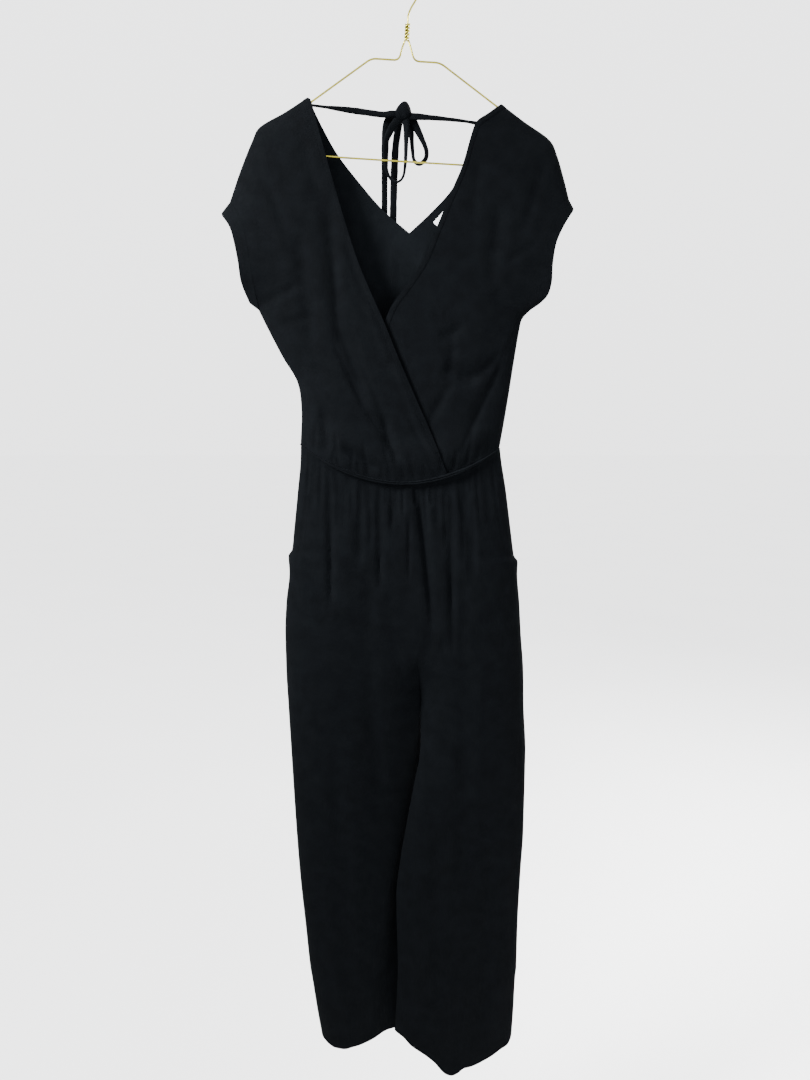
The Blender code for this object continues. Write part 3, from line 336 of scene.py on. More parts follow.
# ---------------------------------------------------------------- creases
# Creases as soft troughs (depth above 0) or ridges (below 0) from one end to
# the other, in the front view; width is the half-width of the dip.
Fold = namedtuple("Fold", "x0 z0 x1 z1 width depth")
BODICE_FRONT_FOLDS = table(Fold, [
    (-0.110, -0.300, -0.098, -0.450, 0.010, 0.0030), (-0.098, -0.450, -0.062, -0.552, 0.009, 0.0040),
    (-0.150, -0.330, -0.132, -0.480, 0.011, 0.0028), (-0.120, -0.565, -0.114, -0.622, 0.008, 0.0040),
    (-0.092, -0.615, -0.045, -0.646, 0.007, 0.0045), (-0.038, -0.575, -0.018, -0.640, 0.007, 0.0035),
    (0.061, -0.440, 0.057, -0.500, 0.012, 0.0009), (0.046, -0.508, 0.090, -0.527, 0.012, 0.0056),
    (0.130, -0.485, 0.074, -0.612, 0.008, 0.0020), (0.120, -0.300, 0.106, -0.400, 0.011, 0.0028),
    (0.054, -0.532, 0.022, -0.586, 0.0065, 0.0020)])
BODICE_BACK_FOLDS = table(Fold, [
    (-0.120, -0.330, -0.090, -0.500, 0.011, 0.0035), (-0.060, -0.400, -0.045, -0.590, 0.010, 0.0032),
    (0.050, -0.390, 0.035, -0.570, 0.010, 0.0035), (0.110, -0.320, 0.085, -0.510, 0.011, 0.0032),
    (0.000, -0.480, -0.004, -0.610, 0.009, 0.0030)])
TROUSER_FRONT_FOLDS = table(Fold, [
    (-0.136, -0.630, -0.139, -0.700, 0.006, 0.0022), (-0.112, -0.645, -0.112, -0.835, 0.006, 0.0038),
    (-0.092, -0.655, -0.094, -0.730, 0.006, 0.0026), (-0.068, -0.660, -0.072, -0.780, 0.006, 0.0030),
    (-0.043, -0.668, -0.043, -0.800, 0.006, 0.0034), (-0.020, -0.668, -0.022, -0.720, 0.006, 0.0026),
    (0.010, -0.668, 0.030, -0.840, 0.007, 0.0042), (0.036, -0.662, 0.038, -0.730, 0.006, 0.0026),
    (0.056, -0.660, 0.057, -0.860, 0.006, 0.0036), (0.073, -0.650, 0.086, -0.795, 0.006, 0.0036),
    (0.104, -0.640, 0.110, -0.720, 0.006, 0.0024), (-0.060, -0.900, -0.045, -1.150, 0.014, 0.0030),
    (0.080, -0.950, 0.075, -1.250, 0.014, 0.0032), (-0.110, -1.050, -0.095, -1.400, 0.014, 0.0030),
    (0.120, -1.200, 0.105, -1.520, 0.014, 0.0030), (0.035, -1.150, 0.045, -1.480, 0.013, 0.0030)])
TROUSER_BACK_FOLDS = table(Fold, [
    (-0.125, -0.625, -0.130, -0.760, 0.007, 0.0030), (-0.088, -0.632, -0.092, -0.810, 0.007, 0.0034),
    (-0.052, -0.636, -0.055, -0.740, 0.007, 0.0030), (-0.022, -0.638, -0.020, -0.830, 0.007, 0.0034),
    (0.022, -0.638, 0.026, -0.770, 0.007, 0.0030), (0.055, -0.634, 0.064, -0.830, 0.007, 0.0034),
    (0.092, -0.630, 0.102, -0.750, 0.007, 0.0030), (-0.085, -0.950, -0.080, -1.300, 0.014, 0.0032),
    (0.090, -1.000, 0.085, -1.380, 0.014, 0.0032)])

# Gathers below the waist seam and tucks above it, as where each starts along
# the waist, how long it is, how far its end drifts sideways, width and depth.
Gather = namedtuple("Gather", "x length drift width depth")
TROUSER_FRONT_GATHERS = table(Gather, [
    (-0.147, 0.030, -0.001, 0.0028, 0.0012), (-0.141, 0.052, -0.003, 0.0034, 0.0018),
    (-0.131, 0.024, 0.000, 0.0028, 0.0014), (-0.124, 0.070, -0.002, 0.0036, 0.0020),
    (-0.104, 0.036, 0.001, 0.0030, 0.0017), (-0.099, 0.082, -0.003, 0.0036, 0.0019),
    (-0.086, 0.028, 0.001, 0.0028, 0.0016), (-0.080, 0.058, -0.002, 0.0034, 0.0020),
    (-0.061, 0.044, 0.002, 0.0032, 0.0018), (-0.055, 0.095, -0.001, 0.0038, 0.0021),
    (-0.034, 0.032, 0.001, 0.0028, 0.0016), (-0.028, 0.066, 0.002, 0.0034, 0.0020),
    (-0.011, 0.040, 0.001, 0.0030, 0.0017), (0.005, 0.030, 0.002, 0.0028, 0.0016),
    (0.019, 0.075, 0.005, 0.0036, 0.0022), (0.027, 0.034, 0.002, 0.0030, 0.0017),
    (0.046, 0.088, 0.003, 0.0036, 0.0021), (0.051, 0.026, 0.001, 0.0028, 0.0015),
    (0.065, 0.054, 0.005, 0.0034, 0.0020), (0.081, 0.038, 0.004, 0.0030, 0.0018),
    (0.089, 0.078, 0.008, 0.0036, 0.0020), (0.097, 0.026, 0.003, 0.0028, 0.0015),
    (0.112, 0.048, 0.006, 0.0032, 0.0017), (0.118, 0.028, 0.003, 0.0028, 0.0012)])
TROUSER_BACK_GATHERS = table(Gather, [
    (-0.144, 0.034, -0.002, 0.0030, 0.0014), (-0.134, 0.062, -0.003, 0.0034, 0.0019),
    (-0.112, 0.042, -0.001, 0.0032, 0.0018), (-0.102, 0.084, -0.002, 0.0036, 0.0021),
    (-0.078, 0.036, 0.001, 0.0030, 0.0017), (-0.068, 0.070, -0.002, 0.0036, 0.0021),
    (-0.040, 0.050, 0.001, 0.0032, 0.0019), (-0.032, 0.030, 0.001, 0.0028, 0.0016),
    (-0.008, 0.074, 0.001, 0.0036, 0.0021), (0.006, 0.034, 0.002, 0.0030, 0.0017),
    (0.034, 0.060, 0.003, 0.0034, 0.0020), (0.043, 0.028, 0.002, 0.0028, 0.0016),
    (0.068, 0.080, 0.006, 0.0036, 0.0020), (0.080, 0.040, 0.004, 0.0030, 0.0018),
    (0.104, 0.052, 0.006, 0.0032, 0.0017), (0.114, 0.030, 0.004, 0.0028, 0.0013)])
BODICE_FRONT_TUCKS = table(Gather, [
    (-0.144, 0.026, -0.002, 0.0030, 0.0014), (-0.133, 0.040, 0.003, 0.0034, 0.0018),
    (-0.108, 0.022, 0.004, 0.0030, 0.0016), (-0.099, 0.046, -0.004, 0.0036, 0.0020),
    (-0.082, 0.030, 0.003, 0.0032, 0.0018), (-0.070, 0.018, -0.003, 0.0028, 0.0015),
    (-0.058, 0.044, -0.006, 0.0036, 0.0020), (-0.040, 0.024, 0.002, 0.0030, 0.0017),
    (-0.027, 0.052, -0.009, 0.0036, 0.0021), (-0.008, 0.028, -0.004, 0.0030, 0.0018),
    (0.006, 0.036, -0.008, 0.0032, 0.0018), (0.022, 0.020, -0.003, 0.0028, 0.0015),
    (0.040, 0.040, 0.004, 0.0034, 0.0018), (0.058, 0.030, 0.006, 0.0032, 0.0018),
    (0.076, 0.048, 0.010, 0.0036, 0.0020), (0.092, 0.022, 0.003, 0.0028, 0.0016),
    (0.106, 0.034, 0.004, 0.0032, 0.0015)])
BODICE_BACK_TUCKS = table(Gather, [
    (-0.140, 0.030, -0.003, 0.0032, 0.0015), (-0.118, 0.044, 0.003, 0.0036, 0.0019),
    (-0.096, 0.026, -0.002, 0.0030, 0.0017), (-0.076, 0.050, 0.004, 0.0036, 0.0021),
    (-0.054, 0.028, -0.003, 0.0030, 0.0017), (-0.030, 0.040, 0.002, 0.0034, 0.0019),
    (-0.006, 0.024, 0.001, 0.0030, 0.0016), (0.018, 0.046, -0.003, 0.0036, 0.0020),
    (0.042, 0.028, 0.003, 0.0030, 0.0017), (0.064, 0.044, -0.004, 0.0034, 0.0019),
    (0.088, 0.026, 0.004, 0.0030, 0.0016), (0.108, 0.036, 0.004, 0.0032, 0.0015)])
# Smaller drag lines, as folds: at the sleeves, under the arms, beside the wrap, at the knees.
BODICE_FRONT_DRAGS = table(Fold, [
    (-0.205, -0.235, -0.165, -0.330, 0.0075, 0.0016), (-0.224, -0.300, -0.178, -0.345, 0.006, 0.0015),
    (-0.200, -0.425, -0.150, -0.400, 0.006, 0.0017), (-0.186, -0.455, -0.130, -0.440, 0.006, 0.0016),
    (-0.160, -0.500, -0.110, -0.520, 0.006, 0.0015), (-0.088, -0.345, -0.058, -0.425, 0.005, 0.0014),
    (-0.062, -0.420, -0.030, -0.500, 0.0045, -0.0012), (-0.022, -0.505, 0.014, -0.590, 0.0045, -0.0013),
    (-0.080, -0.470, -0.030, -0.590, 0.0055, 0.0017), (-0.145, -0.210, -0.120, -0.290, 0.008, 0.0013),
    (0.180, -0.235, 0.150, -0.330, 0.0075, 0.0016), (0.170, -0.345, 0.128, -0.370, 0.006, 0.0015),
    (0.156, -0.428, 0.110, -0.410, 0.006, 0.0018), (0.146, -0.470, 0.100, -0.462, 0.006, 0.0016),
    (0.092, -0.230, 0.082, -0.330, 0.008, 0.0014), (0.072, -0.455, 0.040, -0.470, 0.006, 0.0018),
    (0.030, -0.430, 0.056, -0.475, 0.006, 0.0014),
    # the long slanted folds of the over front, and the two ridges beside its lower edge
    (-0.104, -0.356, -0.098, -0.467, 0.0045, 0.0013), (-0.103, -0.478, -0.065, -0.559, 0.0042, 0.0020),
    (-0.065, -0.559, -0.026, -0.616, 0.0042, 0.0018), (-0.094, -0.621, -0.049, -0.645, 0.0045, 0.0018),
    (-0.036, -0.586, -0.020, -0.632, 0.0040, 0.0016), (0.004, -0.572, 0.042, -0.646, 0.0030, -0.0012),
    (-0.004, -0.572, 0.034, -0.650, 0.0034, 0.0014),
    # the sagging fold of the under front and the folds that run down from the side
    (0.058, -0.450, 0.055, -0.500, 0.0050, 0.0008), (0.060, -0.494, 0.094, -0.500, 0.0100, -0.0018),
    (0.066, -0.521, 0.097, -0.520, 0.0070, 0.0022), (0.124, -0.487, 0.095, -0.518, 0.0060, 0.0024),
    (0.124, -0.505, 0.101, -0.555, 0.0040, 0.0013), (0.101, -0.555, 0.072, -0.617, 0.0040, 0.0014),
    (0.135, -0.462, 0.100, -0.538, 0.0045, -0.0012)])
BODICE_BACK_DRAGS = table(Fold, [
    (-0.205, -0.240, -0.160, -0.335, 0.0075, 0.0016), (-0.196, -0.425, -0.140, -0.402, 0.006, 0.0017),
    (-0.180, -0.462, -0.125, -0.448, 0.006, 0.0015), (-0.084, -0.285, -0.060, -0.400, 0.007, 0.0014),
    (-0.024, -0.345, -0.030, -0.450, 0.006, 0.0014), (0.020, -0.340, 0.012, -0.440, 0.006, 0.0015),
    (0.072, -0.300, 0.062, -0.400, 0.007, 0.0014), (0.178, -0.240, 0.142, -0.335, 0.0075, 0.0016),
    (0.154, -0.430, 0.105, -0.408, 0.006, 0.0017), (0.142, -0.470, 0.098, -0.452, 0.006, 0.0015)])
TROUSER_FRONT_DRAGS = table(Fold, [
    (-0.150, -0.760, -0.120, -0.860, 0.008, 0.0014), (-0.100, -0.960, -0.040, -1.010, 0.010, 0.0013),
    (-0.140, -1.180, -0.085, -1.230, 0.010, 0.0014), (-0.130, -1.250, -0.080, -1.275, 0.009, 0.0012),
    (-0.030, -0.870, 0.000, -0.970, 0.008, 0.0014), (0.050, -0.880, 0.020, -0.980, 0.008, 0.0014),
    (0.140, -0.790, 0.118, -0.880, 0.008, 0.0014), (0.150, -1.150, 0.090, -1.205, 0.010, 0.0014),
    (0.145, -1.230, 0.085, -1.262, 0.009, 0.0012), (0.000, -1.300, 0.055, -1.360, 0.010, 0.0012),
    (0.070, -1.450, 0.078, -1.580, 0.010, 0.0016), (-0.085, -1.430, -0.090, -1.545, 0.010, 0.0016),
    (-0.060, -0.780, -0.058, -0.880, 0.010, 0.0016), (0.075, -0.800, 0.078, -0.930, 0.010, 0.0016),
    # the long soft fold from the middle gathers to the crotch
    (0.029, -0.850, 0.020, -0.990, 0.0110, 0.0026),
    # narrow grooves that the gathers run on into
    (-0.111, -0.720, -0.112, -0.831, 0.0032, 0.0018), (-0.043, -0.765, -0.043, -0.812, 0.0032, 0.0016),
    (-0.002, -0.715, -0.002, -0.794, 0.0034, 0.0020), (0.012, -0.687, 0.030, -0.866, 0.0036, 0.0022),
    (0.057, -0.790, 0.060, -0.902, 0.0036, 0.0020), (0.072, -0.690, 0.073, -0.772, 0.0032, 0.0020),
    (0.086, -0.690, 0.090, -0.791, 0.0032, 0.0020)])
TROUSER_BACK_DRAGS = table(Fold, [
    (-0.110, -0.900, -0.050, -0.990, 0.010, 0.0016), (0.100, -0.900, 0.050, -0.995, 0.010, 0.0016),
    (-0.135, -1.160, -0.080, -1.200, 0.010, 0.0014), (0.145, -1.180, 0.085, -1.225, 0.010, 0.0014),
    (-0.090, -1.400, -0.085, -1.540, 0.011, 0.0016), (0.070, -1.430, 0.074, -1.580, 0.011, 0.0016),
    (-0.040, -1.080, -0.050, -1.260, 0.010, 0.0014), (0.040, -1.120, 0.030, -1.300, 0.010, 0.0014)])


def waist_z(face, x):
    """Height of the waist seam, sagging between the side seams."""
    share = (x - WAIST_RIGHT_X) / (WAIST_LEFT_X - WAIST_RIGHT_X)
    level = WAIST_RIGHT_Z + (WAIST_LEFT_Z - WAIST_RIGHT_Z) * share
    return level - WAIST_DIP[face] * 4 * share * (1 - share)


def waist_folds(gathers, face, way, deeper):
    """Gathers as folds that start at the waist seam and run down (way -1) or up (way 1) from it."""
    folds = []
    for gather in gathers:
        seam = waist_z(face, gather.x)
        folds.append(Fold(gather.x, seam + way * GATHER_START,
                          gather.x + gather.drift, seam + way * (GATHER_START + gather.length),
                          gather.width * GATHER_SHARP, gather.depth * deeper))
    return folds


def pocket_folds(side):
    """The line of the pocket's mouth, as short dips end to end."""
    mouth = POCKET_MOUTHS[side]
    return [Fold(x0, z0, x1, z1, POCKET_MOUTH_WIDTH, POCKET_MOUTH_DEPTH)
            for (x0, z0), (x1, z1) in zip(mouth, mouth[1:])]


BODICE_FOLDS = {
    "front": (BODICE_FRONT_FOLDS + BODICE_FRONT_DRAGS
              + waist_folds(BODICE_FRONT_TUCKS, "front", 1, TUCK_DEPTH)),
    "back": (BODICE_BACK_FOLDS + BODICE_BACK_DRAGS
             + waist_folds(BODICE_BACK_TUCKS, "back", 1, TUCK_DEPTH))}
TROUSER_FOLDS = {
    "front": (TROUSER_FRONT_FOLDS + TROUSER_FRONT_DRAGS
              + waist_folds(TROUSER_FRONT_GATHERS, "front", -1, GATHER_DEPTH)),
    "back": (TROUSER_BACK_FOLDS + TROUSER_BACK_DRAGS
             + waist_folds(TROUSER_BACK_GATHERS, "back", -1, GATHER_DEPTH))}


# ---------------------------------------------------------------- tie and hanger arms
TIE_WIDTH = 0.0072
TIE_THICKNESS = 0.0034
TIE_STEP = 0.0022
TIE_SIDES = 16
TIE_UNEVENNESS = 130        # noise scale along a strand
TIE_WIDTH_CHANGE = 0.10     # how much that noise changes it
TIE_THICKNESS_CHANGE = 0.12
TIE_FLATNESS = 0.75         # power that makes the round section a flat one
TIE_SEAM_BULGE = 0.16
TIE_END = [(0.90, 0.16), (0.62, 0.26)]      # a rounded end: the size of each ring, and how far out

# The strands of the back tie: the route through a few points, then how far
# the strip has turned about it and how wide it is, at shares of its length.
Strand = namedtuple("Strand", "route twist swell far_end lay seed")
STRANDS = {
    "tie_strap_right": Strand(
        [(-0.1330, 0.0092, -0.1650), (-0.1230, 0.0108, -0.1658), (-0.098, 0.0122, -0.1682),
         (-0.064, 0.0130, -0.1722), (-0.0380, 0.0125, -0.1757), (-0.0265, 0.0110, -0.1752),
         (-0.0205, 0.0120, -0.1752), (-0.0160, 0.0135, -0.1752)],
        [(0, 0.02), (0.4, -0.06), (1, 0.04)], [(0, 0.45), (0.15, 0.5), (0.4, 1.05), (0.8, 1.15), (1, 1.35)],
        "knot", "taut", 1.5),
    "tie_strap_left": Strand(
        [(0.0940, 0.0126, -0.1872), (0.0850, 0.0136, -0.1856), (0.0660, 0.0136, -0.1828),
         (0.0363, 0.0125, -0.1803), (0.0110, 0.0108, -0.1790), (0.0010, 0.0122, -0.1778),
         (-0.0035, 0.0138, -0.1770)],
        [(0, 0.10), (0.5, 0.02), (1, -0.03)], [(0, 0.75), (0.18, 0.5), (0.45, 0.7), (0.75, 1.05), (1, 1.35)],
        "knot", "taut", 2.5),
    "bow_loop_right": Strand(
        [(-0.0145, 0.0135, -0.1790), (-0.0195, 0.0125, -0.1850), (-0.0270, 0.0125, -0.1950),
         (-0.0340, 0.0120, -0.2130), (-0.0335, 0.0120, -0.2400), (-0.0285, 0.0120, -0.2550),
         (-0.0195, 0.0117, -0.2613), (-0.0110, 0.0113, -0.2555), (-0.0075, 0.0110, -0.2380),
         (-0.0062, 0.0108, -0.2080), (-0.0062, 0.0115, -0.1920), (-0.0066, 0.0130, -0.1790)],
        [(0, 0.0), (0.45, 0.17), (0.6, 0.20), (1, 0.0)],
        [(0, 1.5), (0.12, 1.3), (0.25, 1.0), (0.55, 0.8), (0.85, 0.95), (1, 1.4)],
        "knot", "hanging", 3.5),
    "bow_loop_left": Strand(
        [(-0.0040, 0.0172, -0.1740), (0.0020, 0.0182, -0.1810), (0.0072, 0.0176, -0.1900),
         (0.0130, 0.0150, -0.2020), (0.0185, 0.0138, -0.2135), (0.0212, 0.0134, -0.2230),
         (0.0195, 0.0132, -0.2320), (0.0115, 0.0132, -0.2378), (0.0042, 0.0140, -0.2325),
         (0.0020, 0.0160, -0.2160), (0.0010, 0.0190, -0.2010), (-0.0010, 0.0210, -0.1900),
         (-0.0025, 0.0200, -0.1780)],
        [(0, 0.0), (0.4, 0.08), (0.6, 0.18), (1, 0.02)],
        [(0, 1.6), (0.12, 1.6), (0.24, 1.2), (0.34, 0.95), (0.6, 0.85), (0.8, 0.95), (0.9, 1.4), (1, 1.5)],
        "knot", "hanging", 4.5),
    "tie_tail_right": Strand(
        [(-0.0165, 0.0205, -0.1725), (-0.0235, 0.0212, -0.1738), (-0.0295, 0.0212, -0.1795),
         (-0.0330, 0.0210, -0.1900), (-0.0345, 0.0210, -0.2100), (-0.0355, 0.0212, -0.2500),
         (-0.0358, 0.0220, -0.3000), (-0.0365, 0.0250, -0.3500), (-0.0380, 0.0265, -0.4050)],
        [(0, 0.0), (0.3, 0.03), (0.7, -0.04), (1, 0.03)],
        [(0, 1.6), (0.10, 1.6), (0.2, 1.4), (0.35, 1.15), (1, 1.1)],
        "bare", "hanging", 5.5),
    "tie_tail_left": Strand(
        [(-0.0150, 0.0205, -0.1780), (-0.0170, 0.0216, -0.1900), (-0.0208, 0.0210, -0.2170),
         (-0.0230, 0.0212, -0.2670), (-0.0240, 0.0225, -0.3200), (-0.0235, 0.0255, -0.3800),
         (-0.0225, 0.0270, -0.4300)],
        [(0, 0.06), (0.3, -0.02), (0.8, 0.03), (1, 0.0)], [(0, 1.5), (0.1, 1.35), (1, 1.3)],
        "bare", "hanging", 6.5),
}
KNOT_CENTRE = (-0.0096, 0.0165, -0.1712)
KNOT_HALF = (0.0122, 0.0098, 0.0128)
KNOT_TOP_SHARE = 0.52       # its width at the top, as a share of the widest
KNOT_PLEAT = 0.07
KNOT_PLEATS = 5.2           # how closely the pleats lie, and how they slant
KNOT_PLEAT_SLANT = 1.8
KNOT_DIP = 0.112            # one deeper dip, right of the middle at the top
KNOT_DIP_AT = 0.25
KNOT_DIP_SLANT = 0.5
KNOT_DIP_WIDTH = 0.16
KNOT_WIDEST = -0.25         # it narrows upwards from here, as a share of its half height
KNOT_LEAN = 0.0012          # its top stands this far to the wearer's left of its middle
KNOT_SQUARENESS = 0.8       # powers that make the ball a rounded block; 1 leaves it round
KNOT_ROUND_OFF = 0.72
KNOT_RINGS = 40
KNOT_SIDES = 48

# Each arm: where it enters the neck of the garment, then the top of its rounded end.
Arm = namedtuple("Arm", "neck_x neck_z end_x end_z")
ARMS = {"right": Arm(0.1214, -0.1725, 0.1700, -0.2080), "left": Arm(0.1288, -0.1670, 0.1790, -0.2055)}


# ---------------------------------------------------------------- curves and tables
def table_value(rows, column, at):
    """Smooth reading of one column of a table at many values of its first column."""
    keys = np.array([row[0] for row in rows])
    values = np.array([getattr(row, column) for row in rows])
    if keys[0] > keys[-1]:
        keys = keys[::-1]
        values = values[::-1]
    at = np.clip(at, keys[0], keys[-1])
    spans = np.diff(keys)
    slopes = np.diff(values) / spans
    before = np.concatenate([slopes[:1], slopes])
    after = np.concatenate([slopes, slopes[-1:]])
    turning = before * after <= 0
    tangent = np.where(turning, 0.0, 2 * before * after / np.where(turning, 1.0, before + after))
    i = np.clip(np.searchsorted(keys, at, side="right") - 1, 0, len(spans) - 1)
    t = (at - keys[i]) / spans[i]
    return ((2 * t ** 3 - 3 * t ** 2 + 1) * values[i] + (t ** 3 - 2 * t ** 2 + t) * spans[i] * tangent[i]
            + (3 * t ** 2 - 2 * t ** 3) * values[i + 1] + (t ** 3 - t ** 2) * spans[i] * tangent[i + 1])


def smooth_curve(points, steps=10):
    """A dense curve through the given points, passing each one smoothly."""
    points = [np.array(point, float) for point in points]
    ends = [2 * points[0] - points[1]] + points + [2 * points[-1] - points[-2]]
    dense = []
    for a, b, c, d in zip(ends, ends[1:], ends[2:], ends[3:]):
        for k in range(steps):
            t = k / steps
            dense.append(0.5 * (2 * b + (c - a) * t + (2 * a - 5 * b + 4 * c - d) * t ** 2
                                + (3 * b - a - 3 * c + d) * t ** 3))
    dense.append(points[-1])
    return np.array(dense)


def unit(vectors):
    """The same directions at length 1; a zero vector stays zero."""
    return vectors / np.maximum(np.linalg.norm(vectors, axis=-1, keepdims=True), TINY)


def path_lengths(points):
    """Length along a row of points up to each one."""
    steps = np.linalg.norm(np.diff(points, axis=0), axis=1)
    return np.concatenate([[0.0], np.cumsum(steps)])


def along_path(points, lengths):
    """Points at the given lengths along a row of points."""
    reach = path_lengths(points)
    return np.stack([np.interp(lengths, reach, points[:, k]) for k in range(points.shape[1])], axis=1)


def spread_along(points, fractions):
    """Points at the given fractions of the length of a smooth curve."""
    dense = smooth_curve(points)
    return along_path(dense, np.array(fractions) * path_lengths(dense)[-1])


def evenly(count):
    """Even fractions from 0 to 1."""
    return np.arange(count + 1) / count


def both_ends(count, pull=END_PULL):
    """Fractions from 0 to 1, closer together at both ends; pull 0 makes them even."""
    return (1 - pull) * evenly(count) + pull * (1 - np.cos(np.pi * evenly(count))) / 2


def far_end(count, pull=END_PULL):
    """Fractions from 0 to 1, closer together at the far end."""
    return (1 - pull) * evenly(count) + pull * np.sin(np.pi / 2 * evenly(count))


def smooth_step(t):
    t = np.clip(t, 0.0, 1.0)
    return t * t * (3 - 2 * t)


def rise(distance, power=SEAM_POWER):
    """Share of the full depth at a distance from a seam; upright at the seam."""
    t = np.clip(distance / SEAM_REACH, 0.0, 1.0)
    return (1 - (1 - t) ** 2) ** power


def relief(folds, x, z):
    """Depth of the creases at places in the front view; above 0 is inward."""
    total = np.zeros_like(x)
    for fold in folds:
        run_x = fold.x1 - fold.x0
        run_z = fold.z1 - fold.z0
        length = math.hypot(run_x, run_z)
        along = ((x - fold.x0) * run_x + (z - fold.z0) * run_z) / length ** 2
        aside = ((x - fold.x0) * run_z - (z - fold.z0) * run_x) / length
        ends = (smooth_step((along + FOLD_OVERRUN) / FOLD_FADE)
                * smooth_step((1 + FOLD_OVERRUN - along) / FOLD_FADE))
        total += fold.depth * ends * np.exp(-(aside / fold.width) ** 2)
    return total


def hand_waves(x, z, face):
    """The slow unevenness of hanging cloth, up to about a millimetre."""
    seed = WAVE_SEEDS[face]
    field = np.empty(x.size)
    for k, (a, b) in enumerate(zip(x.ravel(), z.ravel())):
        broad = noise.noise((a * BROAD_WAVES[0], seed, b * BROAD_WAVES[1]))
        fine = noise.noise((a * FINE_WAVES[0], seed + 5, b * FINE_WAVES[1]))
        field[k] = broad + FINE_SHARE * fine
    return field.reshape(x.shape) * WAVE_DEPTH


# ---------------------------------------------------------------- shells
class Sheet:
    """An open cloth surface: points, quads, and up to two directions across the seams at each point."""

    def __init__(self):
        self.points = np.zeros((0, 3))
        self.across = np.zeros((0, 2, 3))
        self.faces = np.zeros((0, 4), int)

    def add_grid(self, rows, across=None, flip=False):
        """rows[j, i] are points; across[j, i] holds two seam directions, zero for none."""
        first = len(self.points)
        high, wide = rows.shape[:2]
        if across is None:
            across = np.zeros((high, wide, 2, 3))
        self.points = np.concatenate([self.points, rows.reshape(-1, 3)])
        self.across = np.concatenate([self.across, across.reshape(-1, 2, 3)])
        a = first + (np.arange(high - 1)[:, None] * wide + np.arange(wide - 1)[None, :]).ravel()
        quads = np.stack([a, a + 1, a + 1 + wide, a + wide], axis=1)
        self.faces = np.concatenate([self.faces, quads[:, ::-1] if flip else quads])
        return first

    def weld(self, away, keep):
        """Use the kept points in place of the others, which lie at the same places."""
        swap = np.arange(len(self.points))
        swap[np.array(away)] = np.array(keep)
        self.faces = swap[self.faces]

    def close_ring(self, wide):
        """Join the last row of the sheet's only grid to its first."""
        row = np.arange(wide)
        self.weld(len(self.points) - wide + row, row)

    def normals(self):
        """Unit direction out of the sheet at each point, square to its seams."""
        corners = self.points[self.faces]
        turn = unit(np.cross(corners[:, 2] - corners[:, 0], corners[:, 3] - corners[:, 1]))
        out = np.zeros_like(self.points)
        for k in range(4):
            np.add.at(out, self.faces[:, k], turn)
        for k in range(2):
            seam = self.across[:, k]
            out -= seam * np.sum(out * seam, axis=1, keepdims=True)
        crotch = np.all(self.across[:, 0] == Y_AXIS, axis=1) & np.all(self.across[:, 1] == X_AXIS, axis=1)
        out[crotch] = -Z_AXIS
        return unit(out)


def build_wall(name, sheet, material, thickness=CLOTH, offset=0.0, inside=None):
    """Thicken a sheet into one closed shell; offset moves it out first, inside finishes its inner face."""
    out = sheet.normals()
    used = np.unique(sheet.faces)
    number = np.zeros(len(sheet.points), int)
    number[used] = np.arange(len(used))
    faces = number[sheet.faces]
    outer = (sheet.points + out * (offset + thickness / 2))[used]
    inner = (sheet.points + out * (offset - thickness / 2))[used]
    count = len(used)
    starts = faces.ravel()
    ends = np.roll(faces, -1, axis=1).ravel()
    pairs = set(zip(starts.tolist(), ends.tolist()))
    rim = [(b, a, a + count, b + count) for a, b in pairs if (b, a) not in pairs]
    mesh = bpy.data.meshes.new(name)
    mesh.from_pydata(np.concatenate([outer, inner]).tolist(), [],
                     faces.tolist() + (faces[:, ::-1] + count).tolist() + sorted(rim))
    if inside is not None:
        mesh.materials.append(material)
        mesh.materials.append(inside)
        for face in mesh.polygons[len(faces):2 * len(faces)]:
            face.material_index = 1
    return add_piece(name, mesh, material)


def add_piece(name, mesh, material, smooth_angle=50):
    """A piece of the garment with its finish, shaded smooth up to an angle in degrees."""
    mesh.update()
    mesh.shade_smooth()
    mesh.set_sharp_from_angle(angle=math.radians(smooth_angle))
    if not mesh.materials:
        mesh.materials.append(material)
    piece = add_object(name, mesh)
    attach(piece, "root")
    return piece


# ---------------------------------------------------------------- bodice
def seam_distance(x, z):
    """Distance in the front view to the nearest shoulder or side seam."""
    best = np.ones_like(x)
    for outline in OUTLINES.values():
        for line in (outline.shoulder, outline.side):
            dense = smooth_curve(line, 6)
            for (ax, az), (bx, bz) in zip(dense, dense[1:]):
                run_x = bx - ax
                run_z = bz - az
                t = ((x - ax) * run_x + (z - az) * run_z) / (run_x ** 2 + run_z ** 2)
                t = np.clip(t, 0.0, 1.0)
                best = np.minimum(best, np.hypot(x - ax - run_x * t, z - az - run_z * t))
    return best


def bodice_y(face, x, z, creased=1.0):
    """Y of the bodice's mean surface, front or back, at places in the front view."""
    above = z - waist_z(face, x)
    blouse = BLOUSE_OUT * np.exp(-((above - BLOUSE_UP) / BLOUSE_SPREAD) ** 2)
    folds = relief(BODICE_FOLDS[face], x, z) + hand_waves(x, z, face)
    depth = table_value(DEPTHS, "half", z) + blouse - folds * creased * smooth_step(above / WAIST_EASE)
    depth *= rise(seam_distance(x, z))
    return -depth if face == "front" else depth * BACK_FLATNESS


def waist_y(face, x):
    """Y of the waist seam, which bodice and trousers share."""
    return bodice_y(face, x, waist_z(face, x))


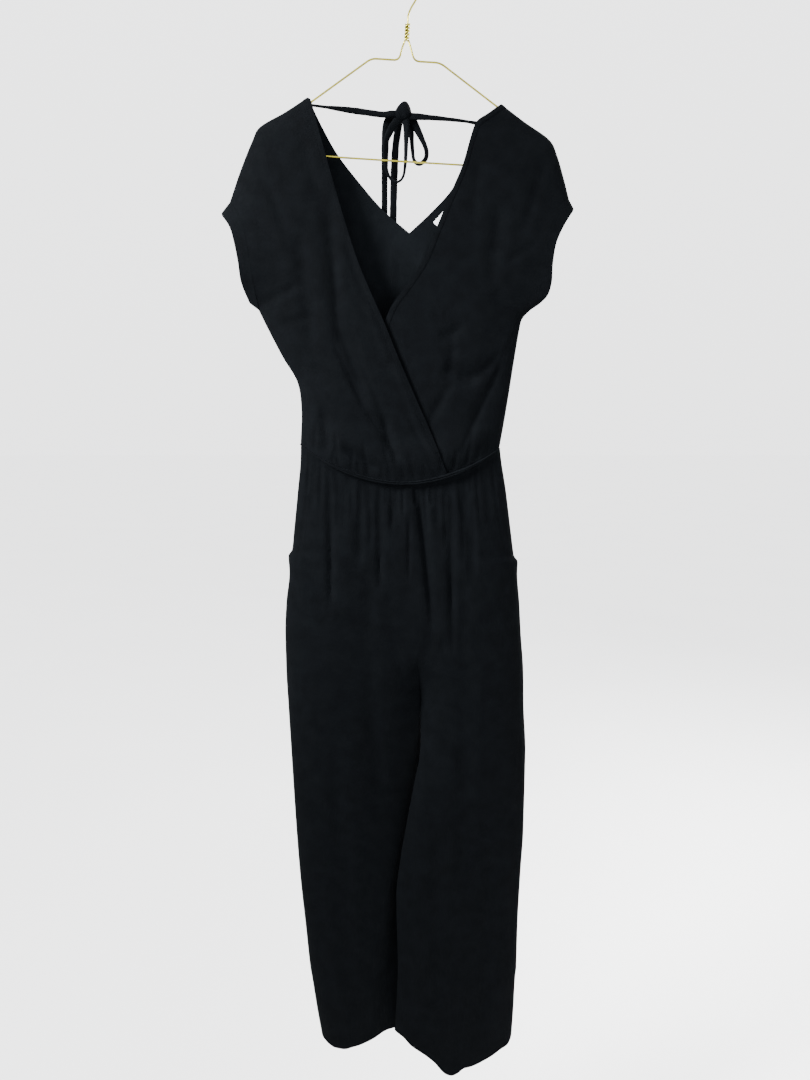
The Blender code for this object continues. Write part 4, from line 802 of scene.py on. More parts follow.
def bodice_grid(side, face, edge_points):
    """One half of the bodice, from its neck or wrap edge out to cuff and side seam."""
    outline = OUTLINES[side]
    along = far_end(BODICE_COLUMNS)
    cuff_seam = spread_along(outline.cuff_seam, both_ends(CUFF_ROWS))
    cuff_edge = spread_along(outline.cuff_edge, both_ends(CUFF_ROWS))
    seam = spread_along(outline.side, both_ends(SIDE_ROWS))
    outer = np.concatenate([cuff_seam, seam[1:]])
    edge = np.array(edge_points)
    shares = [path_lengths(line) / path_lengths(line)[-1] for line in (edge, outer)]
    down = (shares[0] + shares[1]) / 2
    top = spread_along(outline.shoulder, along)
    bottom_x = edge[-1, 0] + (outer[-1, 0] - edge[-1, 0]) * along
    bottom = np.stack([bottom_x, waist_z(face, bottom_x) + SEAM_GAP], axis=1)
    edge[-1] = bottom[0]
    outer[-1] = bottom[-1]
    u = along[None, :, None]
    v = down[:, None, None]
    flat = (top[None] * (1 - v) + bottom[None] * v + edge[:, None] * (1 - u) + outer[:, None] * u
            - top[0] * (1 - u) * (1 - v) - top[-1] * u * (1 - v)
            - bottom[0] * (1 - u) * v - bottom[-1] * u * v)
    x = flat[..., 0]
    z = flat[..., 1]
    y = bodice_y(face, x, z)
    y[0] = -OUTWARD[face] * SEAM_LAP
    y[CUFF_ROWS:, -1] = -OUTWARD[face] * SEAM_LAP
    across = np.zeros((*x.shape, 2, 3))
    across[0, :, 0] = Y_AXIS
    across[CUFF_ROWS:, -1, 0] = Y_AXIS
    across[:CUFF_ROWS + 1, -1, 1, ::2] = unit(cuff_edge - cuff_seam)
    across[-1, :, 1] = Z_AXIS
    return np.stack([x, y, z], axis=-1), across


def wrap_edge_x(z):
    """Where the over front ends at each height."""
    edge = np.array(WRAP_EDGES["right"])[::-1]
    return np.interp(z, edge[:, 1], edge[:, 0])


def part_fronts(side, rows):
    """Set the over front a little out and the under front in, smooth where it is hidden."""
    x = rows[..., 0]
    z = rows[..., 2]
    ease = smooth_step(seam_distance(x, z) / WRAP_EASE)
    if side == "right":
        rows[..., 1] -= WRAP_SPACE * ease
        return
    hidden = smooth_step((wrap_edge_x(z) - x + HIDDEN_START) / HIDDEN_EASE)
    plain = bodice_y("front", x, z, creased=0.0)
    creased = bodice_y("front", x, z)
    low = 1 - smooth_step((z - waist_z("front", x)) / CLOSE_RISE)
    at_edge = smooth_step(1 - (wrap_edge_x(z) - x) / CLOSE_REACH)
    space = (WRAP_SPACE + HIDDEN_SPACE * hidden) * (1 - CLOSE_SHARE * low * at_edge)
    rows[..., 1] += ((plain - creased) * hidden + space) * ease


def front_panel(side):
    """One wrap front, cut in one with its short sleeve."""
    edge = spread_along(WRAP_EDGES[side], both_ends(CUFF_ROWS + SIDE_ROWS))
    rows, across = bodice_grid(side, "front", edge)
    part_fronts(side, rows)
    sheet = Sheet()
    sheet.add_grid(rows, across, flip=(side == "left"))
    return rows, build_wall(f"cloth_bodice_front_{side}", sheet, CREPE)


def back_panel():
    """The back as two halves, joined down the centre below the V."""
    sheet = Sheet()
    halves = {}
    firsts = {}
    for side in SIDES:
        neck = spread_along(BACK_EDGES[side], evenly(CUFF_ROWS))
        centre = spread_along(CENTRE_BACK, far_end(SIDE_ROWS))
        rows, across = bodice_grid(side, "back", np.concatenate([neck, centre[1:]]))
        firsts[side] = sheet.add_grid(rows, across, flip=(side == "right"))
        halves[side] = rows
    down = np.arange(CUFF_ROWS, CUFF_ROWS + SIDE_ROWS + 1) * (BODICE_COLUMNS + 1)
    sheet.weld(firsts["left"] + down, firsts["right"] + down)
    # The inner face takes the lighter copy of the crepe: painted light that lifts the shade inside the V.
    return halves, build_wall("cloth_bodice_back", sheet, CREPE, inside=LIGHTENED_CREPE)


def neck_binding(name, grids, weld_tip):
    """A narrow strip over the edge of one or two half panels, rolled a little at its middle."""
    sheet = Sheet()
    firsts = []
    shares = evenly(BINDING_STEPS)
    for rows, flip in grids:
        strip = np.array([along_path(row, BINDING_WIDTH * shares) for row in rows])
        way = 1 if rows[len(rows) // 2, 0, 1] > 0 else -1
        strip[..., 1] += way * np.sin(np.pi * shares) * BINDING_ROLL
        firsts.append(sheet.add_grid(strip, flip=flip))
    if weld_tip:
        tip = (len(strip) - 1) * len(shares) + np.arange(len(shares))
        keep = firsts[0] + tip
        away = firsts[1] + tip
        middle = (sheet.points[keep] + sheet.points[away]) / 2
        middle[:, 0] = sheet.points[keep[0], 0]
        sheet.points[keep] = middle
        sheet.weld(away, keep)
    return sheet, build_wall(name, sheet, CREPE, thickness=BINDING_THICKNESS, offset=BINDING_OUT)


def cuff(side, front_rows, back_rows):
    """A band round the sleeve's open end, standing on from the cuff seam."""
    edge = spread_along(OUTLINES[side].cuff_edge, both_ends(CUFF_ROWS))
    front = front_rows[:CUFF_ROWS + 1, -1].copy()
    back = back_rows[:CUFF_ROWS + 1, -1]
    front[[0, -1], 1] = 0.0
    loop = np.concatenate([front, back[-2:0:-1], front[:1]])
    ends = np.concatenate([edge, edge[-2:0:-1], edge[:1]])
    outward = np.stack([ends[:, 0], loop[:, 1], ends[:, 1]], axis=1) - loop
    number = np.arange(len(loop))
    from_tip = np.minimum(number, len(loop) - 1 - number)
    outward *= (1 - CUFF_TIP_CUT * np.exp(-(from_tip / CUFF_TIP_ROWS) ** 2))[:, None]
    rows = loop[:, None] + outward[:, None] * CUFF_SHARES[None, :, None]
    across = np.zeros((*rows.shape[:2], 2, 3))
    across[:, :, 0] = unit(outward)[:, None]
    sheet = Sheet()
    sheet.add_grid(rows, across, flip=(side == "left"))
    sheet.close_ring(len(CUFF_SHARES))
    return sheet, build_wall(f"cloth_cuff_{side}", sheet, CREPE, thickness=CUFF_THICKNESS)


def off_sides(x):
    """Distance along X to the nearer end of the waist seam."""
    return np.minimum(x - WAIST_RIGHT_X, WAIST_LEFT_X - x)


def waist_band():
    """The raised elastic seam over the join of bodice and trousers, drawn into small puckers."""
    loops = []
    for face in ("front", "back"):
        shares = both_ends(BAND_COLUMNS, BAND_PULL)
        if face == "back":
            shares = shares[::-1]
        x = WAIST_RIGHT_X + (WAIST_LEFT_X - WAIST_RIGHT_X) * shares[:-1]
        y = waist_y(face, x)
        y[0] = 0.0
        loops.append(np.stack([x, y, waist_z(face, x)], axis=1))
    loop = np.concatenate(loops + [loops[0][:1]])
    reach = path_lengths(loop)
    broad = np.sin(reach * BROAD_PUCKERS + PUCKER_WANDER * np.sin(reach * PUCKER_DRIFT))
    pucker = PUCKER_DEPTH * (0.6 * broad + 0.4 * np.sin(reach * FINE_PUCKERS))
    heights = BAND_SECTION[:, 0]
    swell = BAND_SECTION[:, 1] * BAND_SWELL
    ridge = smooth_step((off_sides(loop[:, 0]) - BAND_FADE[0]) / BAND_FADE[1])
    fade = BAND_SIDE_SHARE + (1 - BAND_SIDE_SHARE) * ridge
    rows = loop[:, None] + Z_AXIS * (BAND_HEIGHT * fade[:, None] * heights[None, :])[..., None]
    rows[..., 2] += pucker[:, None] / 2
    across = np.zeros((*rows.shape[:2], 2, 3))
    across[:, :, 0] = Z_AXIS
    sheet = Sheet()
    sheet.add_grid(rows, across)
    sheet.points += sheet.normals() * (fade[:, None] * (swell[None, :] + pucker[:, None] / 2)).reshape(-1, 1)
    sheet.close_ring(len(heights))
    stand = BAND_CLOSE + (BAND_OUT - BAND_CLOSE) * smooth_step(off_sides(sheet.points[:, 0]) / BAND_EASE)
    sheet.points += sheet.normals() * stand[:, None]
    return build_wall("cloth_waist_band", sheet, CREPE, thickness=BAND_THICKNESS)


# ---------------------------------------------------------------- trousers
def inside_x(side, z):
    """The inner edge of a trouser panel: the rise seam, then the leg's inseam."""
    return np.where(z > CROTCH_Z, table_value(RISE_SEAM, "x", z), table_value(INSEAMS, f"{side}_x", z))


def trouser_y(side, face, x, z, creased=1.0):
    """Y of a trouser panel: half of one wide tube down to the crotch, a leg below it."""
    front = face == "front"
    outer = table_value(TROUSER_SIDES, side, z)
    shift = table_value(INSEAMS, f"{side}_y", z)
    folds = relief(TROUSER_FOLDS[face], x, z) + relief(pocket_folds(side), x, z) * front
    folds = (folds + hand_waves(x, z, face)) * creased
    folds -= HEM_TURN_DEPTH * smooth_step((HEM_TURN_Z - z) / HEM_TURN_EASE)
    from_side = np.abs(x - outer)
    from_inner = np.abs(inside_x(side, z) - x)
    depth = table_value(DEPTHS, "half", z) * (1.0 if front else BACK_FLATNESS)
    body = (depth - folds) * rise(from_side)
    leg = body * rise(from_inner, INSEAM_POWER)
    if side == "right" and front:
        step_x = table_value(LEG_STEP, "x", z)
        leg *= 1 - STEP_DEEPER * table_value(LEG_STEP, "cut", z) * smooth_step((x - step_x) / STEP_WIDTH)
    swing = shift * smooth_step(1 - from_inner / LEG_SHIFT_REACH)
    bend = smooth_step((CROTCH_Z + RISE_CURVE - z) / RISE_CURVE)
    return OUTWARD[face] * ((1 - bend) * body + bend * leg) + bend * swing


def trouser_grid(side, face):
    """Rows from the waist to the level of the crotch, then on to the hem."""
    share = both_ends(TROUSER_COLUMNS)
    waist_side = OUTLINES[side].side[-1][0]
    waist_inner = inside_x(side, np.array(waist_z(face, 0.0)))
    top_x = waist_side + (waist_inner - waist_side) * share
    top = waist_z(face, top_x) - SEAM_GAP
    hem = table_value(HEMS[side], "z", share)
    if face == "back":
        hem = hem + BACK_HEM_UP * np.sin(np.pi * share)
    upper = evenly(UPPER_ROWS)[:, None] ** UPPER_CROWDING
    lower = evenly(LOWER_ROWS)[1:, None]
    z = np.concatenate([top + (CROTCH_Z - top) * upper, CROTCH_Z + (hem - CROTCH_Z) * lower])
    outer = table_value(TROUSER_SIDES, side, z)
    inner = inside_x(side, z)
    x = outer + (inner - outer) * share
    x[0] = top_x
    y = trouser_y(side, face, x, z)
    joined = smooth_step((top - z) / WAIST_EASE)
    y = waist_y(face, top_x) * (1 - joined) + y * joined
    y[:, 0] = -OUTWARD[face] * SEAM_LAP
    x[:UPPER_ROWS + 1, -1] += INWARD[side] * RISE_LAP
    y[UPPER_ROWS:, -1] -= OUTWARD[face] * SEAM_LAP
    across = np.zeros((*x.shape, 2, 3))
    across[:, 0, 0] = Y_AXIS
    across[UPPER_ROWS:, -1, 0] = Y_AXIS
    across[:UPPER_ROWS + 1, -1, 1] = X_AXIS
    across[0, :, 1] = Z_AXIS
    across[0, -1, 0] = X_AXIS
    return np.stack([x, y, z], axis=-1), across


def trouser_panel(side, face):
    """A quarter of the trousers: one leg's front or back."""
    sheet = Sheet()
    sheet.add_grid(*trouser_grid(side, face), flip=((side == "right") != (face == "back")))
    return build_wall(f"cloth_trouser_{face}_{side}", sheet, CREPE)


def pocket_bag(side):
    """The bag of a side-seam pocket, inside the front."""
    v = evenly(POCKET_ROWS)[:, None]
    u = evenly(POCKET_COLUMNS)[None, :]
    z = POCKET_TOP + (POCKET_BOTTOM - POCKET_TOP) * v + 0 * u
    outer = table_value(TROUSER_SIDES, side, z)
    width = POCKET_WIDTH * (1 + POCKET_BELLY * np.sin(np.pi * v) - POCKET_TAPER * v ** 6)
    x = outer + INWARD[side] * (POCKET_INSET + width * u)
    y = trouser_y(side, "front", x, z, creased=0.0)
    y += POCKET_RIPPLE * np.sin(z * POCKET_RIPPLES) * np.sin(np.pi * u) * np.sin(np.pi * v)
    sheet = Sheet()
    sheet.add_grid(np.stack([x, y, z], axis=-1), flip=(side == "right"))
    bag = build_wall(f"cloth_pocket_bag_{side}", sheet, LIGHTENED_CREPE, thickness=POCKET_THICKNESS,
                     offset=-POCKET_DEPTH)
    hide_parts(f"pocket_bag_{side}")
    return bag


# ---------------------------------------------------------------- tie and label
def frames_along(points, twist_turns):
    """For each point of a route: the direction across the strip, and the one out of its face."""
    tangent = unit(np.gradient(points, axis=0))
    side = unit(np.cross(tangent, Y_AXIS))
    face = np.cross(side, tangent)
    angle = np.interp(evenly(len(points) - 1), *zip(*twist_turns)) * 2 * np.pi
    cos = np.cos(angle)[:, None]
    sin = np.sin(angle)[:, None]
    return side * cos + face * sin, face * cos - side * sin


def end_rings(points, rings, end, inner):
    """Two smaller rings that round off one end of a tie, the outer one last."""
    way = unit(points[end] - points[inner])
    return [points[end] + (rings[end] - points[end]) * size + way * TIE_THICKNESS * out
            for size, out in TIE_END]


def flat_tube(name, strand, material):
    """A turned cloth tube pressed flat along a route, fuller at the edge that has its seam."""
    route = smooth_curve(strand.route, 12)
    length = path_lengths(route)[-1]
    count = max(12, round(length / TIE_STEP))
    share = evenly(count)
    points = along_path(route, length * share)
    side, face = frames_along(points, strand.twist)
    swell = np.interp(share, *zip(*strand.swell))
    uneven = np.array([noise.noise((s * length * TIE_UNEVENNESS, strand.seed, 0.5)) for s in share])
    half = TIE_WIDTH / 2 * swell * (1 + TIE_WIDTH_CHANGE * uneven)
    thick = TIE_THICKNESS / 2 * swell ** 0.5 * (1 - TIE_THICKNESS_CHANGE * uneven)
    turn = np.arange(TIE_SIDES) * 2 * np.pi / TIE_SIDES
    flat = np.sign(np.cos(turn)) * np.abs(np.cos(turn)) ** TIE_FLATNESS
    deep = np.sin(turn) * (1 + TIE_SEAM_BULGE * np.cos(turn * 3))
    rings = (points[:, None] + side[:, None] * (half[:, None] * flat)[..., None]
             + face[:, None] * (thick[:, None] * deep)[..., None])
    rings = np.concatenate([end_rings(points, rings, 0, 1)[::-1], rings, end_rings(points, rings, -1, -2)])
    high = len(rings)
    first = np.arange(high - 1)[:, None] * TIE_SIDES
    a = first + np.arange(TIE_SIDES)[None, :]
    b = first + (np.arange(TIE_SIDES)[None, :] + 1) % TIE_SIDES
    quads = np.stack([a, b, b + TIE_SIDES, a + TIE_SIDES], axis=-1).reshape(-1, 4).tolist()
    lids = [list(range(TIE_SIDES))[::-1], list(range((high - 1) * TIE_SIDES, high * TIE_SIDES))]
    mesh = bpy.data.meshes.new(name)
    mesh.from_pydata(rings.reshape(-1, 3).tolist(), [], quads + lids)
    box = bmesh.new()
    box.from_mesh(mesh)
    bmesh.ops.recalc_face_normals(box, faces=box.faces[:])
    box.to_mesh(mesh)
    box.free()
    return points, length, add_piece(name, mesh, material, smooth_angle=60)


def signed_power(value, power):
    return math.copysign(abs(value) ** power, value)


def knot_point(polar, turn):
    """A point of the knot: a rounded block, narrower at its top, with slanted pleats and one deep dip."""
    up = signed_power(math.cos(polar), KNOT_SQUARENESS)
    round_off = abs(math.sin(polar)) ** KNOT_ROUND_OFF
    across = round_off * signed_power(math.cos(turn), KNOT_SQUARENESS)
    deep = round_off * signed_power(math.sin(turn), KNOT_SQUARENESS)
    taper = 1 - (1 - KNOT_TOP_SHARE) * max(up - KNOT_WIDEST, 0) / (1 - KNOT_WIDEST)
    pleat = KNOT_PLEAT * math.sin(across * KNOT_PLEATS + up * KNOT_PLEAT_SLANT) * math.sin(polar)
    from_dip = (across - KNOT_DIP_AT + KNOT_DIP_SLANT * up) / KNOT_DIP_WIDTH
    dip = KNOT_DIP * math.exp(-from_dip ** 2) * math.sin(polar)
    size = 1 + pleat - dip
    return (KNOT_CENTRE[0] + KNOT_HALF[0] * across * taper * size + KNOT_LEAN * up,
            KNOT_CENTRE[1] + KNOT_HALF[1] * deep * size,
            KNOT_CENTRE[2] + KNOT_HALF[2] * up)


def bow_knot():
    """The knot: cloth wrapped round the crossing of the strands."""
    points = [knot_point(math.pi * i / KNOT_RINGS, 2 * math.pi * j / KNOT_SIDES)
              for i in range(1, KNOT_RINGS) for j in range(KNOT_SIDES)]
    top = len(points)
    for way in (1, -1):
        points.append((KNOT_CENTRE[0] + way * KNOT_LEAN, KNOT_CENTRE[1], KNOT_CENTRE[2] + way * KNOT_HALF[2]))
    last = (KNOT_RINGS - 2) * KNOT_SIDES
    faces = []
    for j in range(KNOT_SIDES):
        k = (j + 1) % KNOT_SIDES
        faces.append((top, j, k))
        for first in range(0, last, KNOT_SIDES):
            faces.append((first + j, first + KNOT_SIDES + j, first + KNOT_SIDES + k, first + k))
        faces.append((top + 1, last + k, last + j))
    mesh = bpy.data.meshes.new("cloth_bow_knot")
    mesh.from_pydata(points, [], faces)
    knot = add_piece("cloth_bow_knot", mesh, CREPE, smooth_angle=80)
    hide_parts("bow_knot")
    return knot


def back_tie():
    """Straps, loops and tails, each its own cord, tied at the knot."""
    knot = bow_knot()
    for name, strand in STRANDS.items():
        points, length, piece = flat_tube(f"cloth_{name}", strand, CREPE)
        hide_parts(name)


def label():
    """A blank woven label sewn inside the back neck, along the left of the V."""
    run = unit(np.array(LABEL_RUN))
    down = np.array((run[1], -run[0]))
    u = evenly(LABEL_COLUMNS)[None, :, None]
    v = evenly(LABEL_ROWS)[:, None, None]
    place = np.array(LABEL_CORNER) + run * LABEL_LENGTH * u + down * LABEL_WIDTH * v
    x = place[..., 0]
    z = place[..., 1]
    sheet = Sheet()
    sheet.add_grid(np.stack([x, bodice_y("back", x, z), z], axis=-1))
    piece = build_wall("cloth_label", sheet, LABEL, thickness=LABEL_THICKNESS,
                       offset=-CLOTH / 2 - LABEL_MIDDLE)
    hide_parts("label")
    return piece


# ---------------------------------------------------------------- stitching
def stitch_line(name, path, out):
    """A row of thread stitches along a path, each a small rounded bar on the cloth."""
    reach = path_lengths(path)
    middles = np.arange(STITCH_PITCH / 2, reach[-1], STITCH_PITCH)
    centre = along_path(path, middles)
    half = STITCH_LENGTH / 2
    tangent = unit(along_path(path, middles + half) - along_path(path, middles - half))
    normal = np.stack([np.interp(middles, reach, out[:, k]) for k in range(3)], axis=1)
    side = unit(np.cross(tangent, normal))
    normal = np.cross(side, tangent)
    points = []
    for share, size in STITCH_RINGS:
        for k in range(STITCH_SIDES):
            turn = 2 * math.pi * k / STITCH_SIDES
            around = side * math.cos(turn) + normal * math.sin(turn)
            points.append(centre + tangent * STITCH_LENGTH * share + around * STITCH_RADIUS * size)
    points = np.stack(points, axis=1)
    last = (len(STITCH_RINGS) - 1) * STITCH_SIDES
    bar = []
    for first in range(0, last, STITCH_SIDES):
        for k in range(STITCH_SIDES):
            a = first + k
            b = first + (k + 1) % STITCH_SIDES
            bar.append((a, b, b + STITCH_SIDES, a + STITCH_SIDES))
    bar += [tuple(range(STITCH_SIDES))[::-1], tuple(range(last, last + STITCH_SIDES))]
    count = last + STITCH_SIDES
    faces = [tuple(i * count + corner for corner in face) for i in range(len(middles)) for face in bar]
    mesh = bpy.data.meshes.new(name)
    mesh.from_pydata(points.reshape(-1, 3).tolist(), [], faces)
    return add_piece(name, mesh, THREAD, smooth_angle=80)


def stitch_sheet(name, sheet, places, lift):
    """Stitches along some of a sheet's points, lifted off them, where the sheet is in use."""
    normal = sheet.normals()[places]
    path = sheet.points[places] + normal * lift
    used = np.linalg.norm(normal, axis=1) > 0.5
    return stitch_line(name, path[used], normal[used])


def pocket_stitching(side):
    """Topstitching along the mouth of a pocket."""
    line = smooth_curve(POCKET_MOUTHS[side], 30)
    x = line[:, 0] + INWARD[side] * POCKET_STITCHES
    z = line[:, 1]
    y = trouser_y(side, "front", x, z)
    rise_x = trouser_y(side, "front", x + SLOPE_STEP, z) - trouser_y(side, "front", x - SLOPE_STEP, z)
    rise_z = trouser_y(side, "front", x, z + SLOPE_STEP) - trouser_y(side, "front", x, z - SLOPE_STEP)
    out = unit(np.stack([rise_x, np.full_like(x, -2 * SLOPE_STEP), rise_z], axis=1))
    path = np.stack([x, y, z], axis=1) + out * (CLOTH / 2 + STITCH_LIFT)
    return stitch_line(f"stitching_pocket_{side}", path, out)


# ---------------------------------------------------------------- hanger
def hanger_place(x, z, y=0.0):
    """A point of the hanger, given before the hanger tilts about its hook."""
    return (x * math.cos(HANGER_TILT) + z * math.sin(HANGER_TILT), y,
            z * math.cos(HANGER_TILT) - x * math.sin(HANGER_TILT))


def rounded(corners, reach):
    """A path with each corner rounded off, from this far before it to this far after it."""
    corners = [np.array(corner, float) for corner in corners]
    path = [corners[0]]
    for before, corner, after in zip(corners, corners[1:], corners[2:]):
        back = before - corner
        on = after - corner
        start = corner + back * min(reach / np.linalg.norm(back), 0.5)
        end = corner + on * min(reach / np.linalg.norm(on), 0.5)
        for t in evenly(8):
            path.append((1 - t) ** 2 * start + 2 * t * (1 - t) * corner + t ** 2 * end)
    path.append(corners[-1])
    return path


def wire(name, points, node):
    """A length of round wire through the given closely spaced points."""
    curve = bpy.data.curves.new(name, "CURVE")
    curve.dimensions = "3D"
    curve.bevel_depth = WIRE_RADIUS
    curve.bevel_resolution = 5
    curve.use_fill_caps = True
    spline = curve.splines.new("POLY")
    spline.points.add(len(points) - 1)
    for slot, point in zip(spline.points, points):
        slot.co = (*point, 1.0)
    curve.materials.append(WIRE)
    piece = add_object(name, curve)
    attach(piece, "root")
    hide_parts(node)


def hook():
    """The round of the hook and its neck, down to the foot of the twist."""
    radius = HOOK_INNER_RADIUS + WIRE_RADIUS
    angles = [math.radians(angle) for angle in HOOK_ANGLES]
    points = [hanger_place(radius * math.cos(angle), -HOOK_INNER_RADIUS + radius * math.sin(angle))
              for angle in angles]
    points += [hanger_place(x, z) for x, z in HOOK_NECK]
    wire("wire_hook", smooth_curve(points, 6), "hanger_hook")


def arm(side):
    """One arm: its share of the twist, the bends below it, the shoulder and the round end."""
    way = -INWARD[side]
    ends = ARMS[side]
    path = []
    for k in range(TWIST_STEPS):
        turn = TWIST_TURNS * 2 * math.pi * (1 - k / TWIST_STEPS) + (math.pi if side == "right" else 0)
        z = TWIST_TOP_Z + (TWIST_BOTTOM_Z - TWIST_TOP_Z) * k / TWIST_STEPS
        path.append(hanger_place(TWIST_RADIUS * math.cos(turn), z, TWIST_RADIUS * math.sin(turn)))
    corners = [(TWIST_RADIUS, TWIST_BOTTOM_Z), ARM_KNEE, (ARM_FEET[side], ARM_FLAT_Z),
               (ARM_FLAT_END, ARM_FLAT_Z), (ends.neck_x, ends.neck_z),
               (ends.end_x - ARM_TIP[0], ends.end_z + ARM_TIP[1])]
    path += [hanger_place(way * x, z) for x, z in rounded(corners, WIRE_BEND)]
    half = (ends.end_z - BAR_Z) / 2
    for angle in END_ANGLES:
        x = ends.end_x + half * math.sin(math.radians(angle))
        z = (ends.end_z + BAR_Z) / 2 + half * math.cos(math.radians(angle))
        path.append(hanger_place(way * x, z))
    wire(f"wire_arm_{side}", path, f"hanger_arm_{side}")


def bar():
    points = [hanger_place(-ARMS["right"].end_x, BAR_Z), hanger_place(0.0, BAR_Z - BAR_SAG),
              hanger_place(ARMS["left"].end_x, BAR_Z)]
    wire("wire_bar", smooth_curve(points, 6), "hanger_bar")


def hanger():
    hook()
    for side in SIDES:
        arm(side)
    bar()


# ---------------------------------------------------------------- materials
class Finish:
    """A procedural material: a shader and the nodes that feed it."""

    def __init__(self, name, slot, colour, roughness, metallic=0.0):
        self.material = bpy.data.materials.new(name)
        self.material.use_nodes = True
        self.material["slot"] = slot
        self.nodes = self.material.node_tree.nodes
        self.links = self.material.node_tree.links
        self.shader = self.nodes["Principled BSDF"]
        self.shader.inputs["Base Color"].default_value = (*colour, 1.0)
        self.shader.inputs["Roughness"].default_value = roughness
        self.shader.inputs["Metallic"].default_value = metallic
        self.place = self.nodes.new("ShaderNodeTexCoord").outputs["Object"]

    def add(self, kind, settings=None, **inputs):
        """A node with its settings, and its inputs by name: a number, or another node's output."""
        node = self.nodes.new(kind)
        for key, value in (settings or {}).items():
            setattr(node, key, value)
        for key, value in inputs.items():
            socket = node.inputs[key.replace("_", " ")]
            if isinstance(value, bpy.types.NodeSocket):
                self.links.new(value, socket)
            else:
                socket.default_value = value
        return node

    def noise(self, scale, detail=3.0, stretch=(1.0, 1.0, 1.0)):
        mapping = self.add("ShaderNodeMapping", Vector=self.place, Scale=stretch)
        return self.add("ShaderNodeTexNoise", Vector=mapping.outputs["Vector"], Scale=scale,
                        Detail=detail).outputs["Fac"]

    def threads(self, scale, direction, distortion):
        return self.add("ShaderNodeTexWave", {"wave_type": "BANDS", "bands_direction": direction},
                        Vector=self.place, Scale=scale, Distortion=distortion,
                        Detail=1.0).outputs["Fac"]

    def sum_of(self, parts):
        """A weighted sum of several outputs."""
        total = None
        for output, weight in parts:
            node = self.add("ShaderNodeMath", {"operation": "MULTIPLY_ADD"})
            self.links.new(output, node.inputs[0])
            node.inputs[1].default_value = weight
            node.inputs[2].default_value = 0.0
            if total is not None:
                self.links.new(total, node.inputs[2])
            total = node.outputs[0]
        return total

    def bump(self, height, distance, strength=1.0):
        node = self.add("ShaderNodeBump", Strength=strength, Distance=distance, Height=height)
        self.links.new(node.outputs["Normal"], self.shader.inputs["Normal"])

    def spread(self, fac, low, high, socket):
        """Feed a colour or number that wanders between two values."""
        ramp = self.add("ShaderNodeValToRGB", Fac=fac)
        for stop, position, value in zip(ramp.color_ramp.elements, (0.3, 0.7), (low, high)):
            stop.position = position
            stop.color = (*value, 1.0)
        self.links.new(ramp.outputs["Color"], self.shader.inputs[socket])


def crepe(name, low, high, sheen):
    """Matt crepe: fine crossed threads, a pebbled crinkle, a dull sheen."""
    finish = Finish(name, "crepe", low, 0.82)
    finish.shader.inputs["Specular IOR Level"].default_value = 0.012
    finish.shader.inputs["Sheen Weight"].default_value = sheen
    finish.shader.inputs["Sheen Roughness"].default_value = 0.55
    finish.shader.inputs["Sheen Tint"].default_value = (0.55, 0.68, 0.78, 1.0)
    finish.spread(finish.noise(55.0, 5.0), low, high, "Base Color")
    finish.spread(finish.noise(300.0, 2.0), (0.78,) * 3, (0.90,) * 3, "Roughness")
    height = finish.sum_of([
        (finish.threads(800.0, "X", 1.6), 0.28), (finish.threads(800.0, "Z", 1.6), 0.28),
        (finish.noise(1900.0, 2.0), 0.45), (finish.noise(420.0, 3.0, (1.0, 1.0, 0.55)), 0.9)])
    finish.bump(height, 0.00022, 0.8)
    return finish.material


def label_satin():
    """Pale woven satin: close level threads with a soft gloss."""
    finish = Finish("label_satin", "label", (0.60, 0.62, 0.64), 0.5)
    finish.spread(finish.noise(240.0), (0.56, 0.58, 0.60), (0.66, 0.68, 0.70), "Base Color")
    height = finish.sum_of([(finish.threads(900.0, "Z", 0.4), 0.6), (finish.noise(1500.0), 0.3)])
    finish.bump(height, 0.00012, 0.6)
    return finish.material


def gold_wire():
    """Gold-coloured wire, a little dulled in places."""
    finish = Finish("gold_wire_finish", "gold_wire", (0.24, 0.21, 0.030), 0.26, metallic=1.0)
    finish.spread(finish.noise(90.0), (0.18, 0.158, 0.020), (0.29, 0.255, 0.036), "Base Color")
    finish.spread(finish.noise(420.0), (0.20,) * 3, (0.34,) * 3, "Roughness")
    finish.bump(finish.noise(900.0, 2.0), 0.00004, 0.4)
    return finish.material


def thread_finish():
    """Black polyester thread, with its ply."""
    finish = Finish("thread_finish", "crepe", (0.0010, 0.0013, 0.0016), 0.75)
    finish.shader.inputs["Specular IOR Level"].default_value = 0.02
    finish.spread(finish.noise(700.0), (0.0009, 0.0012, 0.0015), (0.0015, 0.0019, 0.0023), "Base Color")
    finish.bump(finish.threads(1600.0, "DIAGONAL", 0.3), 0.00005, 0.5)
    return finish.material


def floor_finish():
    """Pale matt paint, a little uneven."""
    finish = Finish("floor_finish", "floor", (0.84, 0.84, 0.84), 0.9)
    finish.spread(finish.noise(1.6), (0.83, 0.83, 0.83), (0.85, 0.85, 0.85), "Base Color")
    return finish.material


# ---------------------------------------------------------------- studio
FLOOR_Z = -1.90
FLOOR_REACH = 40
Lamp = namedtuple("Lamp", "name place target size watts spread")    # the spread is in degrees
LAMPS = [
    Lamp("key", (-1.65, -0.95, 0.5), (0.05, 0.0, -0.58), 0.7, 34.0, 46.0),
    Lamp("fill", (2.2, -1.9, -0.4), (0.0, 0.0, -0.9), 1.8, 30.0, 180.0),
    Lamp("back", (1.7, 1.3, 0.7), (0.0, 0.0, -0.7), 0.9, 190.0, 180.0)]
WORLD_COLOUR = (0.985, 0.99, 1.0)
HORIZON_LIGHT = 3.0
ZENITH_LIGHT = 3.6          # the floor, lit by the whole sky, then matches the horizon


